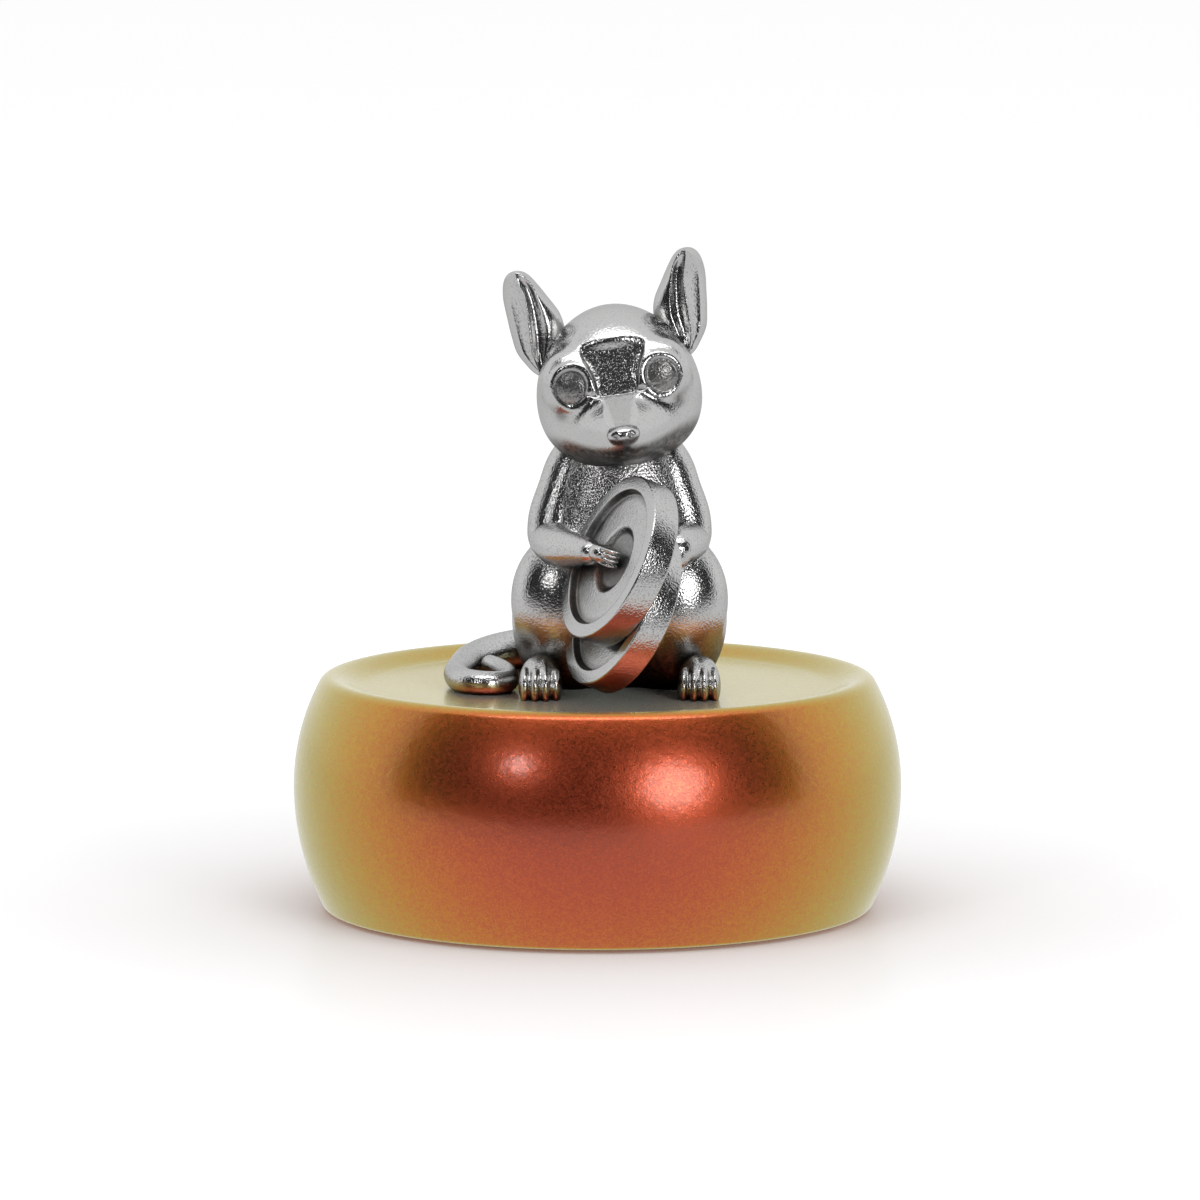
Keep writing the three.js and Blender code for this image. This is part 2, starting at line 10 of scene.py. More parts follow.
import bpy
import numpy as np
from bpy.props import FloatProperty, FloatVectorProperty, PointerProperty
from bpy.types import Operator, Panel, PropertyGroup
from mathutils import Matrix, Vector


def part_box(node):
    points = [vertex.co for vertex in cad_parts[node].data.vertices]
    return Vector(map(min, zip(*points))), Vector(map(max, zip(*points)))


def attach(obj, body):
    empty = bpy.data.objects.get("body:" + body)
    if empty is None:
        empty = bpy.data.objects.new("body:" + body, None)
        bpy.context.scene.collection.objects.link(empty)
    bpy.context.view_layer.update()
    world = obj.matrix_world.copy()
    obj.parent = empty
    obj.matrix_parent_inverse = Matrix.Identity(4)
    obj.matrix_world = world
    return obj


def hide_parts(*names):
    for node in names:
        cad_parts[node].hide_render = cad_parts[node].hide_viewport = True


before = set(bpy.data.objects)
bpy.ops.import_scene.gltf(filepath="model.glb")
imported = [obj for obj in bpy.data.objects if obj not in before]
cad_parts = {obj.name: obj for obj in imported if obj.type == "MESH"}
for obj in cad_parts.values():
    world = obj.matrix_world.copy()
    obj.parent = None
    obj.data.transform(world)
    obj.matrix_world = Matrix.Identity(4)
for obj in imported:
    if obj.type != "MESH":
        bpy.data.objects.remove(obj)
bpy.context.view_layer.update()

bl_info = {
    "name": "Rat Figurine",
    "version": (1, 0, 0),
    "blender": (4, 5, 0),
    "location": "3D View > Sidebar > Figurine",
    "description": "Builds a pewter rat with two coins on a round lacquered base, and its studio",
    "category": "Add Mesh",
}

MM = 0.001
RIGHT, LEFT = -1, 1
HANDS = {RIGHT: "right", LEFT: "left"}
SEAT_GAP = 0.3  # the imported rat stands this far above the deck, and the dressed one on it


def packed_corners(node):
    """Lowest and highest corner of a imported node, in millimetres."""
    return [np.array(corner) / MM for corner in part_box(node)]


BASE_LOW, BASE_HIGH = packed_corners("base_body")
FELT_LOW, FELT_HIGH = packed_corners("felt_pad")
TORSO_LOW, TORSO_HIGH = packed_corners("torso")
DECK = TORSO_LOW[2] - SEAT_GAP
RAT_PLACE = np.array(((TORSO_LOW[0] + TORSO_HIGH[0]) / 2, 0.0, DECK))

# Base and felt pad
BELLY_HEIGHT = 14.1
LOWER_ARC = 30.0
UPPER_ARC = 24.3
FOOT_ROUND = 0.7
COVE_WIDTH = 4.2
RECESS_GAP = 0.3
FELT_EDGE = 0.25
PIN = 0.2  # radius of the innermost ring of a turned skin
CORNER = 0.05  # step beside a sharp corner of a profile

# Lobes of the cast forms in the rat's frame, with Z 0 on the deck: middle, full size and sharpness, then a
# taper and a lean where they have one. Sharp lobes meet in a crease and soft ones flow together. Lean turns a
# lobe's own upward axis forward, in degrees, and taper narrows the lobe's width along that axis.
NARROWEST = 0.2  # a taper's least share of the width
TORSO_LOBES = {
    "rump": ((0, 3.2, 7.5), (16.0, 14.6, 16.4), 10),
    "bell": ((0, -0.2, 15.6), (18.6, 13.0, 32.0), 12),
    "belly": ((0, -3.6, 9.0), (11.0, 9.0, 15.0), 10),
}
TORSO_PAIRS = {
    "haunch": ((5.8, 0.1, 7.6), (12.4, 17.4, 17.2), 12),
    "knee": ((5.8, -4.6, 10.4), (12.4, 9.0, 15.0), 12),
}
TORSO_CENTRE = (0, 1.0, 10.95)
TORSO_SHADE_HEIGHTS = (2.5, 8.5)  # heights between which the painted shade low on the torso fades
TORSO_SHINE = (13, 16)  # heights between which the polish fades

# Head, about its own middle before it is tipped to one side
HEAD_MIDDLE = np.array((-0.3, -3.0, 34.7))
HEAD_ROLL = math.radians(8)
HEAD_LOBES = {
    "skull": ((0, 0.2, -0.75), (18.1, 15.2, 18.2), 12, 0.1),
    "muzzle": ((0, -3.6, -4.7), (12.4, 8.0, 17.4), 8, 0.5, 96),
    "nose": ((0, -11.6, -5.0), (3.3, 2.2, 1.9), 14),
}
HEAD_PAIRS = {
    "brow": ((4.75, -4.3, 0.7), (7.0, 4.7, 7.4), 9),
    "cheek": ((3.8, -1.2, -3.0), (8.4, 8.4, 9.6), 7),
}
HEAD_CENTRE = (0, -1, -1)
FOREHEAD_EDGE = ((-0.8, 2.1), (4.6, 3.7))  # height, and half the width there
FOREHEAD_PLANE = (math.radians(17), 6.3)  # tilt up and distance from the head's middle
BRIDGE_EDGE = ((-3.9, 0.75), (-0.7, 1.55))
BRIDGE_PLANE = (math.radians(51.7), 3.65)
NOSE = (-5.0, 1.8, 1.1)  # height, half width and half height
NOSTRIL = (0.85, -5.1, 0.3)  # away from the middle, height and radius
CHEEK_SPOT = (6.55, -2.6, 0.65)  # the same of a dimple darkened with painted shade
MOUTH = ((0, -6.7), (1.0, -7.1), (2.2, -7.0))  # away from the middle, and height

# Eye: a domed ball in a groove inside a raised lid, set on the side of the face. Its radii are shares of the
# ball's own.
EYE_MIDDLE = (5.15, -6.7, 0.4)
EYE_FACING = (0.46, -0.88, 0.1)
EYE_HALF = (1.6, 1.86)
EYE_LEAN = math.radians(20)
EYE_DOME = (0.46, 1.15)  # height and radius
EYE_SINK = 0.34
EYE_GROOVE = (1.04, 0.07)  # radius and half width, as in the lid
EYE_LID = (1.32, 0.26)
EYE_REACH = 2.5  # the relief ends this far behind the eye's middle

# Ear: height above the head's middle, then inner edge, trough's edge, fold and outer edge away from it
EAR_STATIONS = (
    (1.3, 7.4, 7.9, 8.1, 8.4),
    (2.2, 6.5, 7.8, 8.5, 9.4),
    (4.0, 5.5, 7.4, 8.9, 10.6),
    (6.0, 5.0, 6.9, 8.9, 11.0),
    (8.0, 5.3, 7.0, 8.85, 11.2),
    (10.0, 6.4, 7.4, 8.85, 11.35),
    (11.5, 7.3, 7.8, 9.2, 11.2),
    (12.5, 8.0, 8.4, 9.45, 10.85),
    (13.1, 8.7, 8.95, 9.5, 10.3),
    (13.3, 9.2, 9.35, 9.5, 9.8),
)
EAR_RIM = 0.8
EAR_SWEEP = 1.2  # how far the panel goes back for its width
EAR_DEPTH = 1.0  # behind the head's middle
EAR_TROUGH = 0.5  # depth of the hollow inside the fold
EAR_PANEL = 0.25  # depth of the hollow outside it
EAR_BEND = 1.3  # how far the inner edge goes back
EAR_BULGE = 1.1  # how far the back stands out

# Coins
COIN_SWING = math.radians(66.8)
COIN_TILT = math.radians(23.6)
COIN_REAR = np.array((0.4, -13.2, 10.4))
COIN_STAGGER = 4.5
COIN_OVERHANG = 1.6
COIN_EDGE = 0.22
COIN_RIM = 1.55
COIN_BEVEL = 0.4
COIN_STEP = 0.85
COIN_EYE = 4.0
COIN_EYE_DEPTH = 0.6
COIN_SHADE_WIDTH = 0.9  # width of the painted shade inside the step

# Arms: stations of x away from the middle, y, z, and the radius across and through
UPPER_ARM = (
    (3.4, -0.4, 28.4, 2.0, 2.0),
    (5.1, -0.9, 25.0, 2.9, 2.8),
    (6.1, -1.4, 22.0, 3.05, 2.85),
    (7.0, -1.9, 19.0, 3.15, 2.85),
    (7.35, -2.6, 16.4, 2.9, 2.8),
    (7.3, -3.2, 14.4, 2.6, 2.6),
)
FOREARM = (
    (7.5, -2.2, 16.7, 2.6, 2.4),
    (7.3, -5.0, 16.5, 2.6, 2.4),
    (6.4, -8.0, 16.4, 2.3, 2.2),
)
WRIST = 1.25
PAW_WIDTH = 2.1
PAW_LENGTH = 1.3  # from the wrist to the paw's middle
PAW_POINTS = {RIGHT: (0.78, -0.58, -0.22), LEFT: (-0.55, -0.8, -0.25)}
PAW_PLACES = {RIGHT: (-0.5, 0, -0.1), LEFT: (0, 5.2, -1.0)}  # across, up and out of the face it holds
FINGERS = 4

# Hind feet: places forward and up, and full sizes
FOOT_SIDE = 8.75
FOOT_FRONT = -14.2
FOOT_CENTRE = (-9.5, 1.6)
INSTEP_MIDDLE = (-9.0, 1.9)
INSTEP_SIZE = (4.6, 8.6, 5.4)
TOES = 4
TOE_PITCH = 1.15
TOE_HEIGHT = 1.5
TOE_STAGGER = 0.3
TOE_SIZE = (1.36, 4.0, 3.9)

# Tail route on the deck with the radius at each point
TAIL_STATIONS = (
    (-1.5, 8.4, 4.6, 2.6),
    (-5.5, 12.6, 2.9, 2.5),
    (-10.0, 13.8, 2.35, 2.35),
    (-14.0, 11.6, 2.1, 2.1),
    (-16.6, 7.4, 1.85, 1.85),
    (-17.6, 2.4, 1.65, 1.65),
    (-18.1, -2.6, 1.5, 1.5),
    (-17.2, -6.8, 1.42, 1.42),
    (-14.9, -8.4, 1.36, 1.36),
    (-12.9, -7.2, 1.3, 1.3),
    (-12.4, -4.2, 1.35, 1.25),
    (-13.0, -0.8, 1.7, 1.15),
    (-14.3, 1.6, 2.1, 1.0),
    (-15.2, 2.6, 2.3, 0.85),
)

# Camera, fitted to the base's rims in a frame of 1200 by 1200: the focal length is in pixels
FRAME_PIXELS = 1200
SENSOR = 36.0
CAMERA_FOCAL = 8057.0
CAMERA_DISTANCE = 900.0
CAMERA_ELEVATION = 7.38
CAMERA_TARGET = 34.77
CAMERA_SIDE_PIXELS = 2.5

# Studio, in metres and degrees
LIGHT_TARGET = 0.04  # height that the lights look at
LIGHT_DISTANCE = 0.9
SOFT_BOXES = {  # azimuth, elevation, and width and height
    "key_box": (29, 11, (0.36, 0.36)),
    "fill_box": (-31, 21, (0.12, 0.12)),
    "top_strip": (0, 67, (1.3, 0.28)),
}
ROOM_RADIUS = 1.6
ROOM_SIDE = 82.0
ROOM_HEIGHTS = (-14.0, 52.0)
ROOM_TONE = (0.02, 0.02, 0.02, 1.0)
FLOOR_HALF = 3.0
FLOOR_FRONT = -0.19
WHITE = (1.0, 1.0, 1.0, 1.0)

# Rings of each skin, and points round a ring
TORSO_GRID = (220, 300)
HEAD_GRID = (270, 350)
EAR_GRID = (180, 240)
PAW_GRID = (90, 120)
FOOT_GRID = (150, 200)
ARM_GRID = (110, 72)
TAIL_GRID = (320, 48)
BASE_COLUMNS = 320
FELT_COLUMNS = 160
COIN_COLUMNS = 220


class FigurineSizes(PropertyGroup):
    """Sizes of the turned pieces and the depth of the finishes."""

    base_radius: FloatProperty(
        name="Base radius", description="Radius of the base at its belly",
        default=BASE_HIGH[0] * MM, unit="LENGTH",
    )
    base_height: FloatProperty(
        name="Base height", description="Height of the base's rim above the ground",
        default=BASE_HIGH[2] * MM, unit="LENGTH",
    )
    rim_round: FloatProperty(
        name="Rim round", description="Radius of the base's rounded rim", default=1.5 * MM, unit="LENGTH"
    )
    coin_diameter: FloatProperty(
        name="Coin diameter", description="Diameter of each coin", default=19.0 * MM, unit="LENGTH"
    )
    coin_thickness: FloatProperty(
        name="Coin thickness", description="Thickness of each coin at its rim",
        default=3.2 * MM, unit="LENGTH",
    )
    stipple: FloatProperty(
        name="Stipple depth", description="Depth of the fine cast stipple on the pewter",
        default=0.055 * MM, unit="LENGTH",
    )
    orange_peel: FloatProperty(
        name="Orange peel depth", description="Depth of the waves in the lacquer",
        default=0.02 * MM, unit="LENGTH",
    )


class FigurineColours(PropertyGroup):
    """Colours of the finishes."""

    pewter: FloatVectorProperty(
        name="Pewter", description="Reflected colour of the polished pewter",
        default=(0.53, 0.53, 0.525), subtype="COLOR",
    )
    # The dark end of the pewter: tarnish and pits, and painted shade in the hollows, creases and undersides.
    tarnish_and_shade: FloatVectorProperty(
        name="Tarnish", description="Colour of the pewter in its creases",
        default=(0.07, 0.067, 0.062), subtype="COLOR",
    )
    lacquer: FloatVectorProperty(
        name="Lacquer ground", description="Colour under the colour-shift film",
        default=(0.04, 0.001, 0.001), subtype="COLOR",
    )
    lacquer_tint: FloatVectorProperty(
        name="Film tint", description="Colour that the film's reflection is filtered by",
        default=(1.0, 0.9, 0.07), subtype="COLOR",
    )
    lacquer_sheen: FloatVectorProperty(
        name="Lacquer sheen", description="Colour of the lacquer's flakes seen along the surface",
        default=(0.42, 0.5, 0.46), subtype="COLOR",
    )
    felt: FloatVectorProperty(
        name="Felt", description="Colour of the felt pad", default=(0.02, 0.02, 0.022), subtype="COLOR"
    )
    steel: FloatVectorProperty(
        name="Steel", description="Colour of the screws and washers",
        default=(0.42, 0.43, 0.44), subtype="COLOR",
    )


class FigurineStudio(PropertyGroup):
    """Light levels of the studio."""

    key_light: FloatProperty(
        name="Key light", description="Power of the large soft box on the viewer's right",
        default=2.1, unit="POWER",
    )
    fill_light: FloatProperty(
        name="Fill light", description="Power of the small soft box on the viewer's left",
        default=0.52, unit="POWER",
    )
    top_light: FloatProperty(
        name="Top light", description="Power of the long soft box overhead", default=3.0, unit="POWER"
    )
    ambient: FloatProperty(
        name="Ambient level", description="Level of the white surround where it lights matt surfaces",
        default=0.76, min=0.0,
    )


# Surfaces as arrays of points


def unit(vectors):
    """The vectors at a length of 1."""
    return vectors / np.linalg.norm(vectors, axis=-1, keepdims=True)


def towards(azimuth, elevation):
    """Unit vectors away from the figurine: azimuth turns from its front to its left, elevation rises."""
    azimuth, elevation = np.broadcast_arrays(azimuth, elevation)
    level = np.cos(elevation)
    return np.stack([np.sin(azimuth) * level, -np.cos(azimuth) * level, np.sin(elevation)], -1)


def upright(facing):
    """The unit vector nearest to straight up that is square to another."""
    return unit(np.array((0, 0, 1.0)) - facing[2] * facing)


def circle(columns):
    """Angles evenly round a ring."""
    return np.linspace(0, 2 * np.pi, columns, endpoint=False)


def run_length(points):
    """Length along a line of points, up to each of them."""
    return np.concatenate([[0], np.cumsum(np.linalg.norm(np.diff(points, axis=0), axis=1))])


def catmull_rom(points, count, per_span=24):
    """A smooth curve through the points: on each span a cubic whose end slopes are half the step between
    the neighbours on either side. Returns count points, even in arc length."""
    points = np.asarray(points, float)
    padded = np.concatenate([2 * points[:1] - points[1:2], points, 2 * points[-1:] - points[-2:-1]])
    place = np.linspace(0, len(points) - 1, per_span * len(points))
    span = np.minimum(place.astype(int), len(points) - 2)
    f = (place - span)[:, None]
    p0, p1, p2, p3 = (padded[span + i] for i in range(4))
    square, cube = 2 * p0 - 5 * p1 + 4 * p2 - p3, 3 * p1 - p0 - 3 * p2 + p3
    fine = 0.5 * (2 * p1 + (p2 - p0) * f + square * f**2 + cube * f**3)
    length = run_length(fine[:, :3])
    wanted = np.linspace(0, length[-1], count)
    return np.stack([np.interp(wanted, length, column) for column in fine.T], 1)


def turned(profile, columns):
    """A profile of (radius, height) points turned about Z: x = r cos a, y = r sin a, z = h."""
    profile = np.asarray(profile, float)
    angle = circle(columns)
    radius, height = profile[:, 0, None], profile[:, 1, None]
    return np.stack([radius * np.cos(angle), radius * np.sin(angle), height + 0 * angle], -1)


def arc(middle, radius, start, end, count):
    """Points on an arc of a profile, from one angle to another."""
    angle = np.linspace(start, end, count)
    return np.stack([middle[0] + radius * np.cos(angle), middle[1] + radius * np.sin(angle)], 1)


def level_run(start, end, height, count):
    """Points on a level line of a profile, from one radius to another."""
    return np.stack([np.linspace(start, end, count), np.full(count, height)], 1)


def ball_rays(rows, columns, front=False):
    """Unit rays over a ball, in rings from one pole to the other. The poles lie on Z, or on Y with the
    first one in front."""
    polar = np.pi * (np.arange(rows) + 0.5)[:, None] / rows
    angle = circle(columns)[None, :]
    x = np.sin(polar) * np.cos(angle)
    other = np.sin(polar) * np.sin(angle)
    along = np.cos(polar) + 0 * angle
    return np.stack([x, -along, other], -1) if front else np.stack([x, other, along], -1)


def lobe(middle, size, sharpness, taper=0, lean=0):
    """A lobe as arrays, with half its size, and with its lean in radians."""
    return np.array(middle, float), np.array(size, float) / 2, sharpness, taper, math.radians(lean)


def lobe_list(singles, pairs):
    """Lobes of a form, with each paired one on both sides."""
    both = [((side * m[0], *m[1:]), *rest) for m, *rest in pairs.values() for side in HANDS]
    return [lobe(*row) for row in [*singles.values(), *both]]


def field(points, lobes):
    """Sum over the lobes of exp(sharpness (1 - q)), where q is 1 on a lone lobe's skin and grows outwards."""
    total = np.zeros(points.shape[:-1])
    for middle, half, sharpness, taper, lean in lobes:
        c, s = math.cos(lean), math.sin(lean)
        away = (points - middle) @ np.array(((1, 0, 0), (0, c, -s), (0, s, c))) / half
        away[..., 0] /= np.maximum(1 - taper * away[..., 2], NARROWEST)
        total += np.exp(sharpness * (1 - np.linalg.norm(away, axis=-1)))
    return total


def blended(lobes, centre, rays, strides=60, halvings=16):
    """Skin of a cast form: on each ray from the centre, the outermost point where the field is 1."""
    centre = np.asarray(centre, float)
    far = max(np.linalg.norm(middle - centre) + 1.3 * half.max() for middle, half, *_ in lobes)
    stride = far / strides
    reach = np.full(rays.shape[:-1], far)
    outside = np.ones(reach.shape, bool)
    for _ in range(strides):
        outside &= field(centre + rays * reach[..., None], lobes) < 1
        reach = np.where(outside, reach - stride, reach)
    inner, outer = reach, reach + stride
    for _ in range(halvings):
        between = (inner + outer) / 2
        out = field(centre + rays * between[..., None], lobes) < 1
        inner, outer = np.where(out, inner, between), np.where(out, between, outer)
    return centre + rays * inner[..., None]


def grid_normals(rows):
    """Outward normals of a closed grid of rings, from its neighbours' cross products."""
    around = np.roll(rows, -1, 1) - np.roll(rows, 1, 1)
    along = np.gradient(rows, axis=0)
    normal = np.cross(around, along)
    normal /= np.maximum(np.linalg.norm(normal, axis=-1, keepdims=True), 1e-9)
    outward = np.sign(np.sum(normal * (rows - rows.mean((0, 1))), -1).mean())
    return normal * outward


def sweep(stations, rows, columns, across):
    """A bar along a smooth route of (x, y, z, radius across, radius through): an oval in the plane square to
    the route at each step, with both ends rounded off. Across says which way the first radius lies."""
    fine = catmull_rom(stations, 20 * rows)
    # Rings lie closer together towards both ends
    share = (1 - np.cos(np.linspace(0, np.pi, rows))) / 2
    place = (0.7 * share + 0.3 * np.linspace(0, 1, rows)) * (len(fine) - 1)
    route = np.stack([np.interp(place, np.arange(len(fine)), column) for column in fine.T], 1)
    middle, radii = route[:, :3], route[:, 3:5]
    tangent = unit(np.gradient(middle, axis=0))
    through = unit(np.cross(tangent, across))
    sideways = np.cross(through, tangent)
    length = run_length(middle)
    from_end = np.minimum(length, length[-1] - length)
    shrink = np.sqrt(np.clip(1 - np.maximum(0, 1 - from_end / radii.mean(1)) ** 2, 1e-4, 1))
    angle = circle(columns)[None, :, None]
    wide, deep = (radii * shrink[:, None]).T[..., None, None]
    points = middle[:, None] + wide * np.cos(angle) * sideways[:, None]
    return points + deep * np.sin(angle) * through[:, None]


def smoothstep(value, low, high):
    """0 below low, 1 above high and a smooth S between."""
    f = np.clip((value - low) / (high - low), 0, 1)
    return f * f * (3 - 2 * f)


def bump(distance, width):
    """A bell of height 1 and the given half width."""
    return np.exp(-((distance / width) ** 2))


def distance_to_route(flat, route):
    """Least distance from each point of a plane to a line of straight spans."""
    best = np.full(flat.shape[:-1], 1e9)
    for start, end in zip(np.array(route[:-1], float), np.array(route[1:], float)):
        span = end - start
        share = np.clip(((flat - start) @ span) / (span @ span), 0, 1)
        best = np.minimum(best, np.linalg.norm(flat - start - share[..., None] * span, axis=-1))
    return best


def on_head(points):
    """Tips points made about the head's middle so that the left cheek rises, and puts them on the rat."""
    c, s = math.cos(HEAD_ROLL), math.sin(HEAD_ROLL)
    x, y, z = np.moveaxis(points, -1, 0)
    return np.stack([x * c - z * s, y, x * s + z * c], -1) + HEAD_MIDDLE


# Meshes


class Skin(NamedTuple):
    """A closed grid of points in rings, with how much tarnish and painted shade darken it and how well
    polished it is at each point.
    """

    points: np.ndarray
    tarnish_and_shade: np.ndarray | float = 0.0
    polish: np.ndarray | float = 0.0


def ring_mesh(name, skins):
    """One mesh of closed skins: in each, neighbouring rings share quads, and each end is closed by a fan."""
    corners, faces, used = [], [], 0
    marks = {"tarnish_and_shade": [], "polish": []}
    for skin in skins:
        rows = skin.points
        count, around = rows.shape[:2]
        for mark, values in marks.items():
            spread = np.broadcast_to(np.clip(getattr(skin, mark), 0, 1), (count, around))
            values += [spread.ravel(), spread[0, :1], spread[-1, :1]]
        ring = np.arange(count * around).reshape(count, around)
        following = np.roll(ring, -1, 1)
        quads = np.stack([ring[:-1], following[:-1], following[1:], ring[1:]], -1).reshape(-1, 4)
        first = np.stack([following[0], ring[0], np.full(around, ring.size)], -1)
        last = np.stack([ring[-1], following[-1], np.full(around, ring.size + 1)], -1)
        points = np.concatenate([rows.reshape(-1, 3), rows[:1].mean(1), rows[-1:].mean(1)])
        a, b, c = points[quads[:, 0]], points[quads[:, 1]], points[quads[:, 2]]
        outward = np.sum(np.cross(b - a, c - a) * (a - points.mean(0))) > 0
        turn = slice(None) if outward else slice(None, None, -1)
        faces += (quads[:, turn] + used).tolist()
        faces += (np.concatenate([first, last])[:, turn] + used).tolist()
        corners.append(points)
        used += len(points)
    mesh = bpy.data.meshes.new(name)
    mesh.from_pydata(np.concatenate(corners) * MM, [], faces)
    for mark, values in marks.items():
        attribute = mesh.attributes.new(mark, "FLOAT", "POINT")
        attribute.data.foreach_set("value", np.concatenate(values).astype(np.float32))
    mesh.shade_smooth()
    return mesh


def in_scene(name, data):
    """A new object in the scene."""
    made = bpy.data.objects.new(name, data)
    bpy.context.scene.collection.objects.link(made)
    return made


def add_piece(name, skins, material, node):
    """Puts a finished piece in the scene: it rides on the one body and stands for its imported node."""
    piece = in_scene(name, ring_mesh(name, skins))
    piece.data.materials.append(material)
    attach(piece, "root")
    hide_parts(node)


def add_pewter(name, skins, node):
    """Puts a piece of the rat in the scene. The torso's operator makes the pewter."""
    add_piece(name, skins, bpy.data.materials["pewter"], node)


# Materials


class NodeBench:
    """Adds nodes to a tree and joins them, so that a material reads as a list of steps."""

    def __init__(self, tree):
        self.tree = tree
        tree.nodes.clear()

    def add(self, kind, inputs=None, **settings):
        """A new node, with its inputs set to values or joined to other nodes."""
        node = self.tree.nodes.new(kind)
        for key, value in settings.items():
            setattr(node, key, value)
        for key, value in (inputs or {}).items():
            socket = node.inputs[key]
            if isinstance(value, bpy.types.NodeSocket):
                self.tree.links.new(value, socket)
            else:
                socket.default_value = value
        return node

    def math(self, operation, first, second=0.0, third=0.0):
        """Result of one step of arithmetic."""
        return self.add("ShaderNodeMath", {0: first, 1: second, 2: third}, operation=operation).outputs[0]

    def place(self):
        """Object coordinates."""
        return self.add("ShaderNodeTexCoord").outputs["Object"]

    def noise(self, place, scale, detail):
        """Soft noise from 0 to 1."""
        inputs = {"Vector": place, "Scale": scale, "Detail": detail}
        return self.add("ShaderNodeTexNoise", inputs).outputs["Fac"]

    def mapped(self, value, low, high, start=0.0, end=1.0, **settings):
        """The value moved so that start becomes low and end becomes high, and held between them."""
        inputs = {"Value": value, "From Min": start, "From Max": end, "To Min": low, "To Max": high}
        return self.add("ShaderNodeMapRange", inputs, **settings).outputs["Result"]

    def bumped(self, height, distance, under=None):
        """A normal tipped by a height, on top of another bump if one is given."""
        inputs = {"Height": height, "Strength": 1.0, "Distance": distance}
        if under is not None:
            inputs["Normal"] = under
        return self.add("ShaderNodeBump", inputs).outputs["Normal"]

    def ramp(self, value, low, high):
        """Colour that goes from low to high while the value goes from 0 to 1."""
        node = self.add("ShaderNodeValToRGB", {"Fac": value})
        for element, colour in zip(node.color_ramp.elements, (low, high)):
            element.color = rgba(colour)
        return node.outputs["Color"]

    def shades(self, value, colour, dark, light):
        """A ramp between two multiples of one colour."""
        return self.ramp(value, [dark * c for c in colour], [light * c for c in colour])

    def glow(self, colour, strength):
        """Light given off."""
        return self.add("ShaderNodeEmission", {"Color": colour, "Strength": strength}).outputs[0]

    def finish(self, shader):
        """Makes a shader the material's surface."""
        self.add("ShaderNodeOutputMaterial", {"Surface": shader})

    def principled(self, inputs):
        """Makes a Principled shader with these inputs the material's surface."""
        self.finish(self.add("ShaderNodeBsdfPrincipled", inputs).outputs[0])


def new_material(name):
    """An empty node material and its bench."""
    made = bpy.data.materials.get(name) or bpy.data.materials.new(name)
    made.use_nodes = True
    return made, NodeBench(made.node_tree)


def rgba(colour):
    """A colour with its alpha."""
    return (*colour, 1.0)


def pewter_material(scene):
    """Polished pewter: a fine cast stipple, soft waves, dark pits, and tarnish and painted shade in the
    hollows and creases.
    """
    colours, stipple = scene.figurine_colours, scene.figurine_sizes.stipple
    made, bench = new_material("pewter")
    place = bench.place()
    polish = bench.add("ShaderNodeAttribute", attribute_name="polish").outputs["Fac"]
    # Each piece's own marks: tarnish and painted shade.
    painted = bench.add("ShaderNodeAttribute", attribute_name="tarnish_and_shade").outputs["Fac"]
    dull = bench.math("MULTIPLY_ADD", polish, -0.9, 1.0)
    cells = bench.add("ShaderNodeTexVoronoi", {"Vector": place, "Scale": 4300.0}, feature="SMOOTH_F1")
    cast = bench.math("ADD", cells.outputs["Distance"], bench.noise(place, scale=5600.0, detail=2.0))
    stippled = bench.bumped(cast, bench.mapped(polish, stipple, 0.2 * stipple))
    waves = bench.noise(place, scale=420.0, detail=1.0)
    pits = bench.mapped(cast, 0.0, 0.7, start=0.85, end=0.55)
    pitted = bench.math("MULTIPLY", pits, bench.math("SUBTRACT", 1.0, polish))
    # Ambient occlusion darkens the hollows and creases: painted shade.
    shade = bench.add("ShaderNodeAmbientOcclusion", {"Distance": 2.0 * MM}, samples=6).outputs["AO"]
    hollow = bench.math("MULTIPLY", bench.mapped(shade, 0.0, 1.0, start=0.6, end=0.15), dull)
    blotch = bench.noise(place, scale=1800.0, detail=3.0)
    patchy = bench.math("MULTIPLY", bench.math("ADD", hollow, painted), bench.math("ADD", blotch, 0.5))
    patchy = bench.math("ADD", patchy, pitted)
    bench.principled({
        "Base Color": bench.ramp(patchy, colours.pewter, colours.tarnish_and_shade),
        "Metallic": 1.0,
        "Roughness": bench.mapped(patchy, 0.18, 0.4),
        "Specular Tint": (0.7, 0.7, 0.7, 1.0),
        "Normal": bench.bumped(waves, bench.math("MULTIPLY", dull, 0.7 * stipple), stippled),
    })
    return made


def lacquer_material(scene):
    """Colour-shift lacquer: a thin film over a dark ground goes from crimson seen square on through orange
    to olive gold at the edges, with fine flake, orange peel and a thin clear coat."""
    colours, depth = scene.figurine_colours, scene.figurine_sizes.orange_peel
    made, bench = new_material("colour_shift_lacquer")
    place = bench.place()
    flake = bench.add("ShaderNodeTexVoronoi", {"Vector": place, "Scale": 5600.0}).outputs["Color"]
    spark = bench.add("ShaderNodeSeparateColor", {"Color": flake}).outputs["Red"]
    grain = bench.noise(place, scale=5200.0, detail=1.0)
    peel = bench.noise(place, scale=900.0, detail=1.0)
    bench.principled({
        "Base Color": bench.shades(spark, colours.lacquer, 0.6, 1.4),
        "Roughness": bench.mapped(spark, 0.27, 0.41),
        "IOR": 4.5,
        "Specular Tint": rgba(colours.lacquer_tint),
        "Thin Film Thickness": bench.mapped(spark, 366.0, 380.0),
        "Thin Film IOR": 1.8,
        "Sheen Weight": 0.5,
        "Sheen Roughness": 0.4,
        "Sheen Tint": rgba(colours.lacquer_sheen),
        "Coat Weight": 1.0,
        "Coat IOR": 1.4,
        "Coat Roughness": 0.18,
        "Coat Normal": bench.bumped(peel, depth),
        "Normal": bench.bumped(peel, depth, bench.bumped(grain, 0.75 * depth)),
    })
    return made


